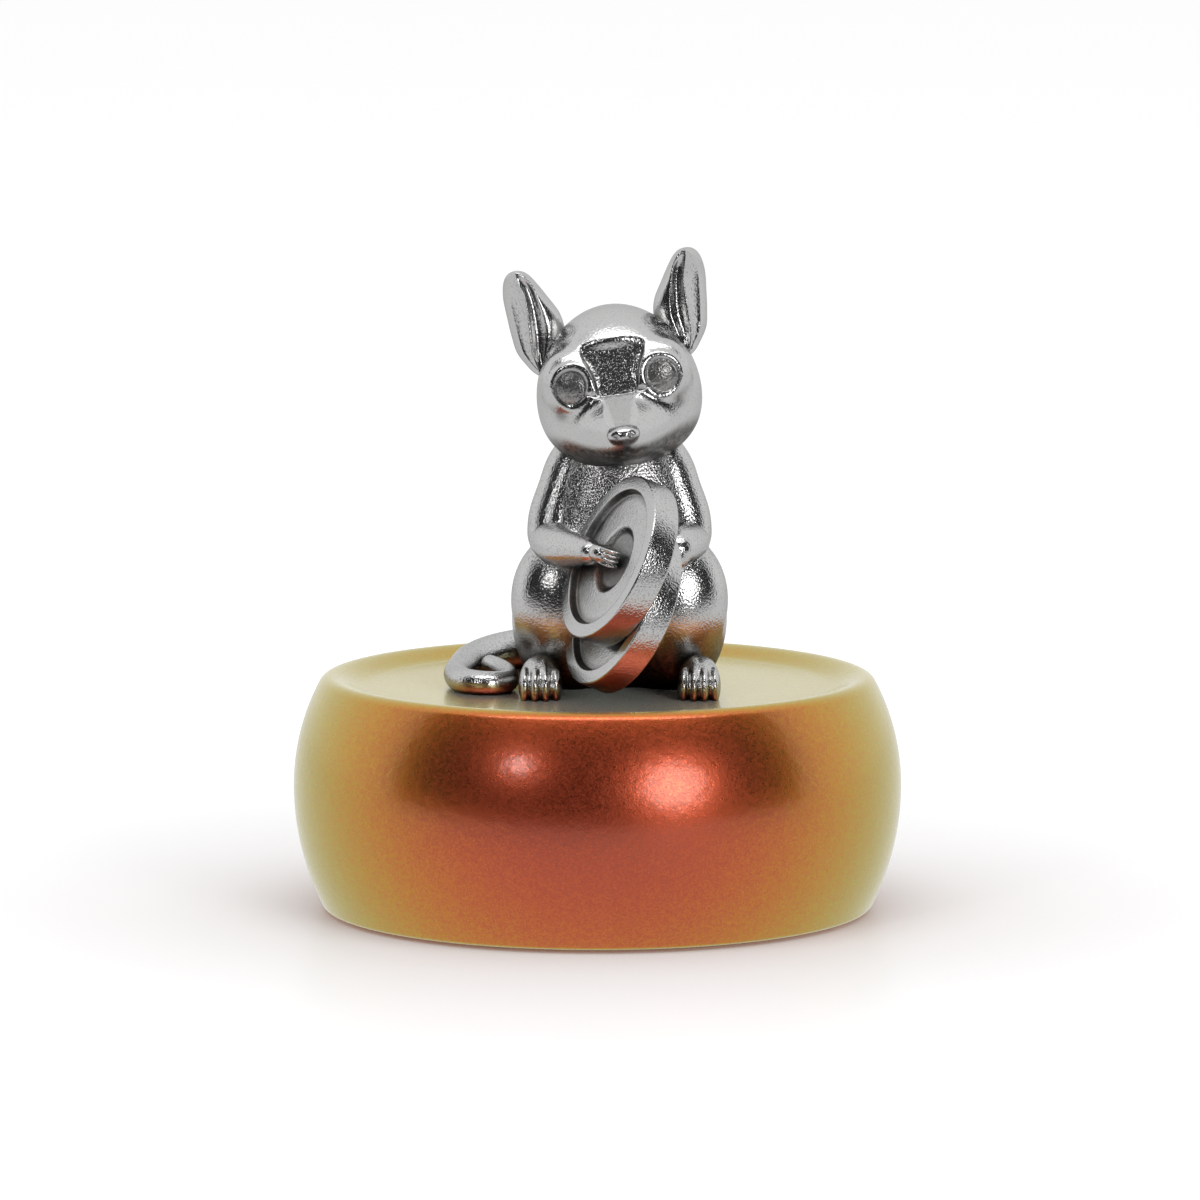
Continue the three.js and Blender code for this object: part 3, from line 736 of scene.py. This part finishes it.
def felt_material(scene):
    """Pressed felt: matted fibres as fine noise in colour and height, with a soft sheen."""
    made, bench = new_material("pressed_felt")
    fibres = bench.noise(bench.place(), scale=2400.0, detail=6.0)
    bench.principled({
        "Base Color": bench.shades(fibres, scene.figurine_colours.felt, 0.5, 2.2),
        "Roughness": 0.95,
        "Sheen Weight": 0.4,
        "Normal": bench.bumped(fibres, 0.15 * MM),
    })
    return made


def steel_material(scene):
    """Zinc-plated steel: fine turning marks and a slightly cloudy plate."""
    made, bench = new_material("zinc_plated_steel")
    place = bench.place()
    cloud = bench.noise(place, scale=1500.0, detail=4.0)
    marks = bench.add("ShaderNodeTexWave", {"Vector": place, "Scale": 900.0}, bands_direction="Z")
    bench.principled({
        "Base Color": bench.shades(cloud, scene.figurine_colours.steel, 0.75, 1.2),
        "Metallic": 1.0,
        "Roughness": bench.mapped(cloud, 0.28, 0.5),
        "Normal": bench.bumped(marks.outputs["Fac"], 0.01 * MM),
    })
    return made


# Forms


def base_profile(sizes):
    """Section of the base from the middle of its underside, out over the barrel and in across the deck:
    two arcs that meet at the belly, a round rim, and a smooth cove down to the flat of the deck."""
    radius, height, rim = (v / MM for v in (sizes.base_radius, sizes.base_height, sizes.rim_round))
    lower = (radius - LOWER_ARC, BELLY_HEIGHT)
    upper = (radius - UPPER_ARC, BELLY_HEIGHT)
    foot_height = BASE_LOW[2] + FOOT_ROUND
    foot_angle = -math.asin((BELLY_HEIGHT - foot_height) / (LOWER_ARC - FOOT_ROUND))
    foot = lower[0] + (LOWER_ARC - FOOT_ROUND) * math.cos(foot_angle)
    rim_height = height - rim
    rim_angle = math.asin((rim_height - BELLY_HEIGHT) / (UPPER_ARC - rim))
    crest = upper[0] + (UPPER_ARC - rim) * math.cos(rim_angle)
    recess = FELT_HIGH[2] + RECESS_GAP
    felt = FELT_HIGH[0] + RECESS_GAP
    along = np.linspace(0, 1, 25)[1:]
    cove = np.stack([crest - COVE_WIDTH * along, height - (height - DECK) * smoothstep(along, 0, 1)], 1)
    return np.concatenate([
        level_run(PIN, felt, recess, 8),
        [[felt, recess - CORNER], [felt, BASE_LOW[2] + CORNER], [felt + CORNER, BASE_LOW[2]]],
        arc((foot, foot_height), FOOT_ROUND, -math.pi / 2, foot_angle, 9),
        arc(lower, LOWER_ARC, foot_angle, 0, 36)[1:],
        arc(upper, UPPER_ARC, 0, rim_angle, 30)[1:],
        arc((crest, rim_height), rim, rim_angle, math.pi / 2, 16)[1:],
        cove,
        level_run(crest - COVE_WIDTH, PIN, DECK, 24)[1:],
    ])


def felt_profile():
    """Section of the felt disc, with its cut edge slightly rounded."""
    inset, bottom, top = FELT_HIGH[0] - FELT_EDGE, FELT_LOW[2], FELT_HIGH[2]
    return np.concatenate([
        level_run(PIN, inset, bottom, 12),
        arc((inset, bottom + FELT_EDGE), FELT_EDGE, -math.pi / 2, 0, 6)[1:],
        arc((inset, top - FELT_EDGE), FELT_EDGE, 0, math.pi / 2, 6),
        level_run(inset, PIN, top, 12)[1:],
    ])


def torso_form():
    """Haunches, knees, rump and the bell of the upper body run into one skin, flat where it sits on the deck
    and darkened low down with painted shade."""
    skin = blended(lobe_list(TORSO_LOBES, TORSO_PAIRS), TORSO_CENTRE, ball_rays(*TORSO_GRID))
    skin[..., 2] = height = np.maximum(skin[..., 2], 0)
    # Painted shade: darker towards the deck.
    tarnish_and_shade = 0.85 * (1 - smoothstep(height, *TORSO_SHADE_HEIGHTS))
    return Skin(skin + RAT_PLACE, tarnish_and_shade, 0.7 - 0.6 * smoothstep(height, *TORSO_SHINE))


def eye_relief(points, side):
    """Height of one eye's relief, its painted shade, and its ball's share, by the elliptical distance q from
    the eye's middle, which is 1 on the ball's edge. The lid is higher above the ball than below it."""
    facing = unit(np.array(EYE_FACING) * (side, 1, 1))
    across = unit(np.cross((0, 0, 1), facing))
    up = np.cross(facing, across)
    away = points - np.array(EYE_MIDDLE) * (side, 1, 1)
    a, b, depth = away @ across, away @ up, away @ facing
    c, s = math.cos(side * EYE_LEAN), math.sin(side * EYE_LEAN)
    u, v = (a * c + b * s) / EYE_HALF[0], (b * c - a * s) / EYE_HALF[1]
    q = np.hypot(u, v)
    within = 1 - smoothstep(q, 0.92, 1.08)
    dome = EYE_DOME[0] * np.sqrt(np.clip(1 - (q / EYE_DOME[1]) ** 2, 0, 1))
    groove = bump(q - EYE_GROOVE[0], EYE_GROOVE[1])
    lid = (0.2 + 0.05 * np.clip(v, -1, 1)) * bump(q - EYE_LID[0], EYE_LID[1])
    near = depth > -EYE_REACH
    relief = (dome - EYE_SINK) * within + lid - 0.05 * groove
    # The ball and the groove round it are darkened with painted shade.
    return [np.where(near, part, 0) for part in (relief, 0.4 * groove + 0.5 * within, within)]


def planed(points, tilt, distance, share):
    """Presses points that stand in front of a plane onto it. The plane faces forward and up by the tilt."""
    facing = towards(0, tilt)
    proud = np.maximum(points @ facing - distance, 0)
    return points - (share * proud)[..., None] * facing


def dimple(flat, across, height, radius):
    """A bell round one spot of the face."""
    return bump(np.hypot(flat[..., 0] - across, flat[..., 1] - height), radius)


def head_form():
    """Skull, muzzle, nose, brows and cheeks run into one skin. The forehead and the bridge of the nose are
    planed flat, then the eyes, nostrils and mouth are carved. All but the forehead and the eyes is well
    polished."""
    skin = blended(lobe_list(HEAD_LOBES, HEAD_PAIRS), HEAD_CENTRE, ball_rays(*HEAD_GRID, front=True))
    x, y, z = np.moveaxis(skin, -1, 0)
    front = smoothstep(-y, 1.0, 3.0)
    edge = np.interp(z, *np.array(FOREHEAD_EDGE).T)
    inside = front * smoothstep(edge - np.abs(x), -0.25, 0.25) * smoothstep(z, -1.3, -0.8)
    inside = inside * (1 - smoothstep(z, 3.9, 5.3))
    skin = planed(skin, *FOREHEAD_PLANE, inside)
    nose = 1 - smoothstep(np.hypot(x / NOSE[1], (z - NOSE[0]) / NOSE[2]), 0.85, 1.2)
    bridge = front * (1 - nose) * (1 - smoothstep(np.abs(x), 4.2, 6.0)) * smoothstep(-z, 0.2, 0.9)
    skin = planed(skin, *BRIDGE_PLANE, bridge)
    normal = grid_normals(skin)
    relief, tarnish_and_shade, ball = (sum(parts) for parts in zip(*(eye_relief(skin, side) for side in HANDS)))
    flat = np.stack([np.abs(skin[..., 0]), skin[..., 2]], -1)
    mouth = bump(distance_to_route(flat, MOUTH), 0.25)
    nostril, spot = dimple(flat, *NOSTRIL), dimple(flat, *CHEEK_SPOT)
    crease = inside * bump(edge - flat[..., 0], 0.2)
    side = flat[..., 0] - np.interp(z, *np.array(BRIDGE_EDGE).T)
    above = bridge * smoothstep(z, -4.2, -3.8)
    line, panel = above * bump(side, 0.14), above * smoothstep(-side, -0.1, 0.1)
    # Painted shade on the surfaces that face down.
    below = smoothstep(-normal[..., 2], 0.25, 0.55)
    relief = relief - front * (0.05 * mouth + 0.15 * nostril + 0.1 * spot + 0.07 * line)
    # Painted shade on the cheek spots, the bridge panel and the crease beside the forehead, and tarnish and
    # painted shade in the mouth and the nostrils.
    marks = 0.2 * mouth + 0.5 * nostril + 0.15 * crease + 0.6 * spot + 0.2 * panel
    tarnish_and_shade = tarnish_and_shade + front * marks + 0.8 * below
    polish = 0.8 - 0.4 * np.maximum(ball, inside)
    return Skin(on_head(skin + relief[..., None] * normal) + RAT_PLACE, tarnish_and_shade, polish)


def ear_form(side):
    """A cupped leaf: rings round the leaf from its root to its tip. In front, a trough lies on the inner side
    of a fold, and a shallow panel is swept back between the fold and a rounded rim. The band inside the
    trough is bent back into the skull."""
    rows, columns = EAR_GRID
    height, inner, valley, fold, outer = catmull_rom(EAR_STATIONS, rows).T[..., None]
    angle = circle(columns)[None, :]
    x = (inner + outer) / 2 + np.cos(angle) * (outer - inner) / 2
    open_share = smoothstep(height, 1.8, 4.5) * (1 - smoothstep(height, 11.2, 13.0))
    in_trough = np.clip((x - valley) / (fold - valley), 0, 1)
    in_panel = np.clip((x - fold) / np.maximum(outer - EAR_RIM - fold, 0.1), 0, 1)
    hollow = EAR_TROUGH * np.sin(np.pi * in_trough) ** 1.5 + EAR_PANEL * np.sin(np.pi * in_panel)
    hollow = hollow * open_share
    swept = EAR_SWEEP * np.clip(x - fold, 0, None) * smoothstep(height, 1.3, 3.0)
    bent = EAR_BEND * np.clip((valley - x) / np.maximum(valley - inner, 0.3), 0, 1) ** 1.6
    from_edge = np.clip(np.minimum(x - inner, outer - x) / EAR_RIM, 0, 1)
    thick = EAR_RIM * np.sqrt(1 - (1 - from_edge) ** 2)
    is_front = np.sin(angle) < 0
    bulge = EAR_BULGE * np.sin(angle) ** 2 * (0.3 + 0.7 * open_share)
    y = EAR_DEPTH + bent + swept + np.where(is_front, hollow - thick, thick + bulge)
    # A thin line of painted shade along the fold.
    tarnish_and_shade = np.where(is_front, 0.25 * bump(x - fold + 0.25, 0.2) * open_share, 0)
    polish = np.where(is_front & (in_panel > 0) & (in_panel < 1), 0.5, 0.8)
    leaf = on_head(np.stack([side * x, y, height + 0 * x], -1)) + RAT_PLACE
    return Skin(leaf, tarnish_and_shade, polish)


def coin_axes():
    """Axes of the coins: across a face, up a face and out of it."""
    facing = towards(-COIN_SWING, COIN_TILT)
    up = upright(facing)
    return np.cross(up, facing), up, facing


def coin_places(sizes):
    """Middles of the rear and the front coin."""
    across, up, facing = coin_axes()
    thickness = sizes.coin_thickness / MM
    return COIN_REAR, COIN_REAR + thickness * facing + COIN_STAGGER * up + COIN_OVERHANG * across


def coin_form(sizes, middle):
    """A disc with a flat rim, a bevel down to a flat ring and a dished middle, the same on both faces,
    turned about the coin's own axis. Painted shade darkens the bevel, the ring beside it and the dish."""
    radius, half = sizes.coin_diameter / MM / 2, sizes.coin_thickness / MM / 2
    ring = radius - COIN_RIM - COIN_BEVEL
    inward = np.linspace(COIN_EYE, 0.1, 24)
    dish = half - COIN_STEP - COIN_EYE_DEPTH * (1 - smoothstep(inward, 0.75 * COIN_EYE, COIN_EYE))
    slope = np.linspace(0, 1, 9)
    bevel = np.stack([radius - COIN_RIM - COIN_BEVEL * slope, half - COIN_STEP * smoothstep(slope, 0, 1)], 1)
    face = np.concatenate([
        arc((radius - COIN_EDGE, half - COIN_EDGE), COIN_EDGE, 0, math.pi / 2, 7),
        [[radius - COIN_RIM + 0.08, half]],
        bevel,
        level_run(ring - 0.1, COIN_EYE + 0.1, half - COIN_STEP, 16),
        np.stack([inward, dish], 1),
    ])
    profile = np.concatenate([face[::-1] * (1, -1), face])
    sunk = profile[:, 0] < radius - COIN_RIM - 0.02
    # Painted shade on the bevel, on the ring beside it and in the dish.
    by_step = sunk * smoothstep(profile[:, 0], ring - COIN_SHADE_WIDTH, ring)
    in_dish = 1 - smoothstep(profile[:, 0], 0.8 * COIN_EYE, COIN_EYE)
    tarnish_and_shade = (0.5 * by_step + 0.5 * in_dish)[:, None]
    polish = np.where(profile[:, 0] < radius - 0.1, 0.8, 0.5)[:, None]
    disc = turned(profile, COIN_COLUMNS) @ np.stack(coin_axes())
    return Skin(disc + middle + RAT_PLACE, tarnish_and_shade, polish)


def paw_form(place, pointing):
    """A palm with fingers side by side, run into one skin."""
    spread = upright(pointing)
    axes = np.stack([pointing, spread, np.cross(pointing, spread)])
    pitch = PAW_WIDTH / FINGERS
    lobes = [lobe((-0.9, 0, 0), (3.0, PAW_WIDTH, 2.0), 8)]
    for finger in range(FINGERS):
        aside = pitch * (finger - (FINGERS - 1) / 2)
        lobes.append(lobe((0.4, aside, 0.1), (2.8, 1.12 * pitch, 1.3), 12))
    skin = blended(lobes, (-0.4, 0, 0), ball_rays(*PAW_GRID)) @ axes
    return Skin(skin + place + RAT_PLACE, polish=0.6)


def arm_forms(sizes, side):
    """A bar from the shoulder to the elbow, another from there to the wrist, and the paw: the right one in
    the front coin's middle, the left one behind the rear coin."""
    rear, front = coin_places(sizes)
    half = sizes.coin_thickness / MM / 2
    coin, face = (front, half) if side == RIGHT else (rear, -half)
    paw = coin + (np.array(PAW_PLACES[side]) + (0, 0, face)) @ np.stack(coin_axes())
    pointing = unit(np.array(PAW_POINTS[side]))
    upper, lower = (np.array(stations) * (side, 1, 1, 1, 1) for stations in (UPPER_ARM, FOREARM))
    wrist = np.array((*(paw - PAW_LENGTH * pointing), WRIST, WRIST))
    lower = [*lower, (lower[-1] + wrist) / 2, wrist]
    return [
        Skin(sweep(upper, *ARM_GRID, (1, 0, 0)) + RAT_PLACE, polish=0.5),
        Skin(sweep(lower, *ARM_GRID, (1, 0, 0)) + RAT_PLACE, polish=0.6),
        paw_form(paw, pointing),
    ]


def foot_form(side):
    """A rounded instep and tall toes with grooves between them, run into one skin."""
    x = side * FOOT_SIDE
    lobes = [lobe((x, *INSTEP_MIDDLE), INSTEP_SIZE, 10)]
    for toe in range(TOES):
        place = toe - (TOES - 1) / 2
        y = FOOT_FRONT + TOE_SIZE[1] / 2 + TOE_STAGGER * place**2
        lobes.append(lobe((x + TOE_PITCH * place, y, TOE_HEIGHT), TOE_SIZE, 11))
    skin = blended(lobes, (x, *FOOT_CENTRE), ball_rays(*FOOT_GRID, front=True))
    skin[..., 2] = np.maximum(skin[..., 2], 0)
    return Skin(skin + RAT_PLACE, polish=0.5)


def tail_form():
    """A tapering bar along a smooth route over the deck."""
    stations = [(x, y, z, radius, radius) for x, y, z, radius in TAIL_STATIONS]
    return Skin(sweep(stations, *TAIL_GRID, (0, 0, 1)) + RAT_PLACE, polish=0.5)


# Operators


class FIGURINE_OT_base(Operator):
    """Turns the barrel base and the felt pad under it"""

    bl_idname = "figurine.base"
    bl_label = "Base and felt pad"

    def execute(self, context):
        profile = base_profile(context.scene.figurine_sizes)
        lacquer = lacquer_material(context.scene)
        felt = felt_material(context.scene)
        add_piece("lacquered_base", [Skin(turned(profile, BASE_COLUMNS))], lacquer, "base_body")
        add_piece("felt_disc", [Skin(turned(felt_profile(), FELT_COLUMNS))], felt, "felt_pad")
        return {"FINISHED"}


class FIGURINE_OT_fasteners(Operator):
    """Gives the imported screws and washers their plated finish"""

    bl_idname = "figurine.fasteners"
    bl_label = "Screws and washers"

    def execute(self, context):
        steel = steel_material(context.scene)
        for name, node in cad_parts.items():
            if name.startswith(("figure_screw", "washer")):
                node.data.materials.clear()
                node.data.materials.append(steel)
        return {"FINISHED"}


class FIGURINE_OT_torso(Operator):
    """Models the body with its haunches"""

    bl_idname = "figurine.torso"
    bl_label = "Torso"

    def execute(self, context):
        add_piece("rat_torso", [torso_form()], pewter_material(context.scene), "torso")
        return {"FINISHED"}


class FIGURINE_OT_head(Operator):
    """Models the head and carves its face"""

    bl_idname = "figurine.head"
    bl_label = "Head"

    def execute(self, context):
        add_pewter("rat_head", [head_form()], "head")
        return {"FINISHED"}


class FIGURINE_OT_ears(Operator):
    """Models the two cupped ears"""

    bl_idname = "figurine.ears"
    bl_label = "Ears"

    def execute(self, context):
        for side, hand in HANDS.items():
            add_pewter(f"rat_ear_{hand}", [ear_form(side)], f"ear_{hand}")
        return {"FINISHED"}


class FIGURINE_OT_coins(Operator):
    """Turns the two coins"""

    bl_idname = "figurine.coins"
    bl_label = "Coins"

    def execute(self, context):
        sizes = context.scene.figurine_sizes
        for name, place in zip(("rear", "front"), coin_places(sizes)):
            add_pewter(f"held_coin_{name}", [coin_form(sizes, place)], f"coin_{name}")
        return {"FINISHED"}


class FIGURINE_OT_arms(Operator):
    """Models the two arms with their paws"""

    bl_idname = "figurine.arms"
    bl_label = "Arms"

    def execute(self, context):
        sizes = context.scene.figurine_sizes
        for side, hand in HANDS.items():
            add_pewter(f"rat_arm_{hand}", arm_forms(sizes, side), f"arm_{hand}")
        return {"FINISHED"}


class FIGURINE_OT_feet(Operator):
    """Models the two hind feet with their toes"""

    bl_idname = "figurine.feet"
    bl_label = "Hind feet"

    def execute(self, context):
        for side, hand in HANDS.items():
            add_pewter(f"rat_foot_{hand}", [foot_form(side)], f"hind_foot_{hand}")
        return {"FINISHED"}


class FIGURINE_OT_tail(Operator):
    """Models the tail looped on the deck"""

    bl_idname = "figurine.tail"
    bl_label = "Tail"

    def execute(self, context):
        add_pewter("rat_tail", [tail_form()], "tail")
        return {"FINISHED"}


def aim(made, azimuth, elevation, distance, target):
    """Puts a light or the camera at a distance from a height on the base's axis, looking at it."""
    away = Vector(towards(math.radians(azimuth), math.radians(elevation)))
    made.location = Vector((0, 0, target)) + distance * away
    made.rotation_euler = away.to_track_quat("Z", "Y").to_euler()


def soft_box(name, azimuth, elevation, size, power):
    """An oval soft light that looks at the figurine, seen in reflections but not by the camera."""
    lamp = bpy.data.lights.new(name, "AREA")
    lamp.shape = "ELLIPSE"
    lamp.size, lamp.size_y = size
    lamp.energy = power
    box = in_scene(name, lamp)
    aim(box, azimuth, elevation, LIGHT_DISTANCE, LIGHT_TARGET)
    box.visible_camera = False


def dark_room():
    """The unlit room on the camera's side, as a piece of a ball round the figurine that only shows in
    reflections: azimuth and elevation are its two parameters."""
    azimuth = np.radians(np.linspace(-ROOM_SIDE, ROOM_SIDE, 40))[None, :]
    elevation = np.radians(np.linspace(*ROOM_HEIGHTS, 20))[:, None]
    points = ROOM_RADIUS * towards(azimuth, elevation)
    index = np.arange(points[..., 0].size).reshape(points.shape[:2])
    quads = np.stack([index[:-1, :-1], index[:-1, 1:], index[1:, 1:], index[1:, :-1]], -1).reshape(-1, 4)
    mesh = bpy.data.meshes.new("dark_room")
    mesh.from_pydata(points.reshape(-1, 3), [], quads.tolist())
    made, bench = new_material("dark_room")
    bench.finish(bench.glow(ROOM_TONE, 1.0))
    mesh.materials.append(made)
    room = in_scene("dark_room", mesh)
    room.visible_camera = room.visible_diffuse = room.visible_shadow = False


def seen_directly(bench):
    """1 for rays of the camera and of gloss and glass, 0 for rays that light matt surfaces."""
    path = bench.add("ShaderNodeLightPath").outputs
    gloss = bench.math("MAXIMUM", path["Is Glossy Ray"], path["Is Transmission Ray"])
    return bench.math("MAXIMUM", path["Is Camera Ray"], gloss)


def white_floor():
    """A white table top that glows for the camera up to white, with the glow turned down near the base as a
    painted shadow round it, and keeps the base's shadow and faint gloss. It ends not far in front, out of the
    picture, and in reflections it fades towards that end into the dark room."""
    near, far = FLOOR_FRONT, FLOOR_HALF
    mesh = bpy.data.meshes.new("floor")
    mesh.from_pydata([(-far, near, 0), (far, near, 0), (far, far, 0), (-far, far, 0)], [], [(0, 1, 2, 3)])
    made, bench = new_material("white_floor")
    place = bench.place()
    paper = bench.add("ShaderNodeBsdfDiffuse", {"Color": (0.8, 0.8, 0.8, 1.0)}).outputs[0]
    away = bench.add("ShaderNodeVectorMath", {0: place}, operation="LENGTH").outputs["Value"]
    # The glow is turned down near the base: a painted shadow round it.
    level = bench.mapped(away, 0.05, 0.36, start=0.034, end=0.14)
    glow = bench.glow(WHITE, bench.math("MULTIPLY", seen_directly(bench), level))
    lit = bench.add("ShaderNodeAddShader", {0: paper, 1: glow}).outputs[0]
    gloss = bench.add("ShaderNodeBsdfGlossy", {"Color": WHITE, "Roughness": 0.3}).outputs[0]
    sheet = bench.add("ShaderNodeMixShader", {0: 0.1, 1: lit, 2: gloss}).outputs[0]
    forward = bench.add("ShaderNodeSeparateXYZ", {"Vector": place}).outputs["Y"]
    fade = bench.mapped(forward, 0.05, 0.9, start=near, end=-0.1, interpolation_type="SMOOTHSTEP")
    by_gloss = bench.add("ShaderNodeLightPath").outputs["Is Glossy Ray"]
    mirrored = bench.glow(WHITE, fade)
    bench.finish(bench.add("ShaderNodeMixShader", {0: by_gloss, 1: sheet, 2: mirrored}).outputs[0])
    mesh.materials.append(made)
    in_scene("floor", mesh)


def white_world(scene):
    """A white surround, at full strength where it is seen and at the ambient level where it lights."""
    world = bpy.data.worlds.new("white_surround")
    world.use_nodes = True
    scene.world = world
    bench = NodeBench(world.node_tree)
    ambient = scene.figurine_studio.ambient
    level = bench.math("MULTIPLY_ADD", seen_directly(bench), 1 - ambient, ambient)
    surround = bench.add("ShaderNodeBackground", {"Color": WHITE, "Strength": level})
    bench.add("ShaderNodeOutputWorld", {"Surface": surround.outputs[0]})


def photo_camera(scene):
    """The camera at the photograph's angle, with the base's axis a little left of the middle."""
    data = bpy.data.cameras.new("photo_camera")
    data.sensor_width = SENSOR
    data.lens = CAMERA_FOCAL / FRAME_PIXELS * SENSOR
    data.shift_x = CAMERA_SIDE_PIXELS / FRAME_PIXELS
    scene.camera = in_scene("photo_camera", data)
    aim(scene.camera, 0, CAMERA_ELEVATION, CAMERA_DISTANCE * MM, CAMERA_TARGET * MM)


class FIGURINE_OT_stage(Operator):
    """Sets up the white floor, the soft boxes, the dark room in front and the camera"""

    bl_idname = "figurine.stage"
    bl_label = "Studio"

    def execute(self, context):
        scene = context.scene
        studio = scene.figurine_studio
        scene.view_settings.view_transform = "Standard"
        white_world(scene)
        white_floor()
        dark_room()
        powers = studio.key_light, studio.fill_light, studio.top_light
        for (name, place), power in zip(SOFT_BOXES.items(), powers):
            soft_box(name, *place, power)
        photo_camera(scene)
        return {"FINISHED"}


class FIGURINE_PT_panel(Panel):
    """Lists the figurine's sizes, colours and building steps"""

    bl_idname = "FIGURINE_PT_panel"
    bl_label = "Rat Figurine"
    bl_space_type = "VIEW_3D"
    bl_region_type = "UI"
    bl_category = "Figurine"

    def draw(self, context):
        for group in (getattr(context.scene, name) for name in GROUPS):
            box = self.layout.box()
            for name in group.bl_rna.properties.keys():
                if name not in ("rna_type", "name"):
                    box.prop(group, name)
        for operator in OPERATORS:
            self.layout.operator(operator.bl_idname)


GROUPS = {
    "figurine_sizes": FigurineSizes,
    "figurine_colours": FigurineColours,
    "figurine_studio": FigurineStudio,
}
OPERATORS = (
    FIGURINE_OT_stage,
    FIGURINE_OT_base,
    FIGURINE_OT_fasteners,
    FIGURINE_OT_torso,
    FIGURINE_OT_head,
    FIGURINE_OT_ears,
    FIGURINE_OT_coins,
    FIGURINE_OT_arms,
    FIGURINE_OT_feet,
    FIGURINE_OT_tail,
)
CLASSES = (*GROUPS.values(), *OPERATORS, FIGURINE_PT_panel)


def register():
    for made in CLASSES:
        bpy.utils.register_class(made)
    for name, group in GROUPS.items():
        setattr(bpy.types.Scene, name, PointerProperty(type=group))


def unregister():
    for name in GROUPS:
        delattr(bpy.types.Scene, name)
    for made in reversed(CLASSES):
        bpy.utils.unregister_class(made)


def main():
    """Builds everything in order."""
    register()
    bpy.ops.figurine.stage()
    bpy.ops.figurine.base()
    bpy.ops.figurine.fasteners()
    bpy.ops.figurine.torso()
    bpy.ops.figurine.head()
    bpy.ops.figurine.ears()
    bpy.ops.figurine.coins()
    bpy.ops.figurine.arms()
    bpy.ops.figurine.feet()
    bpy.ops.figurine.tail()


if __name__ == "__main__":
    main()
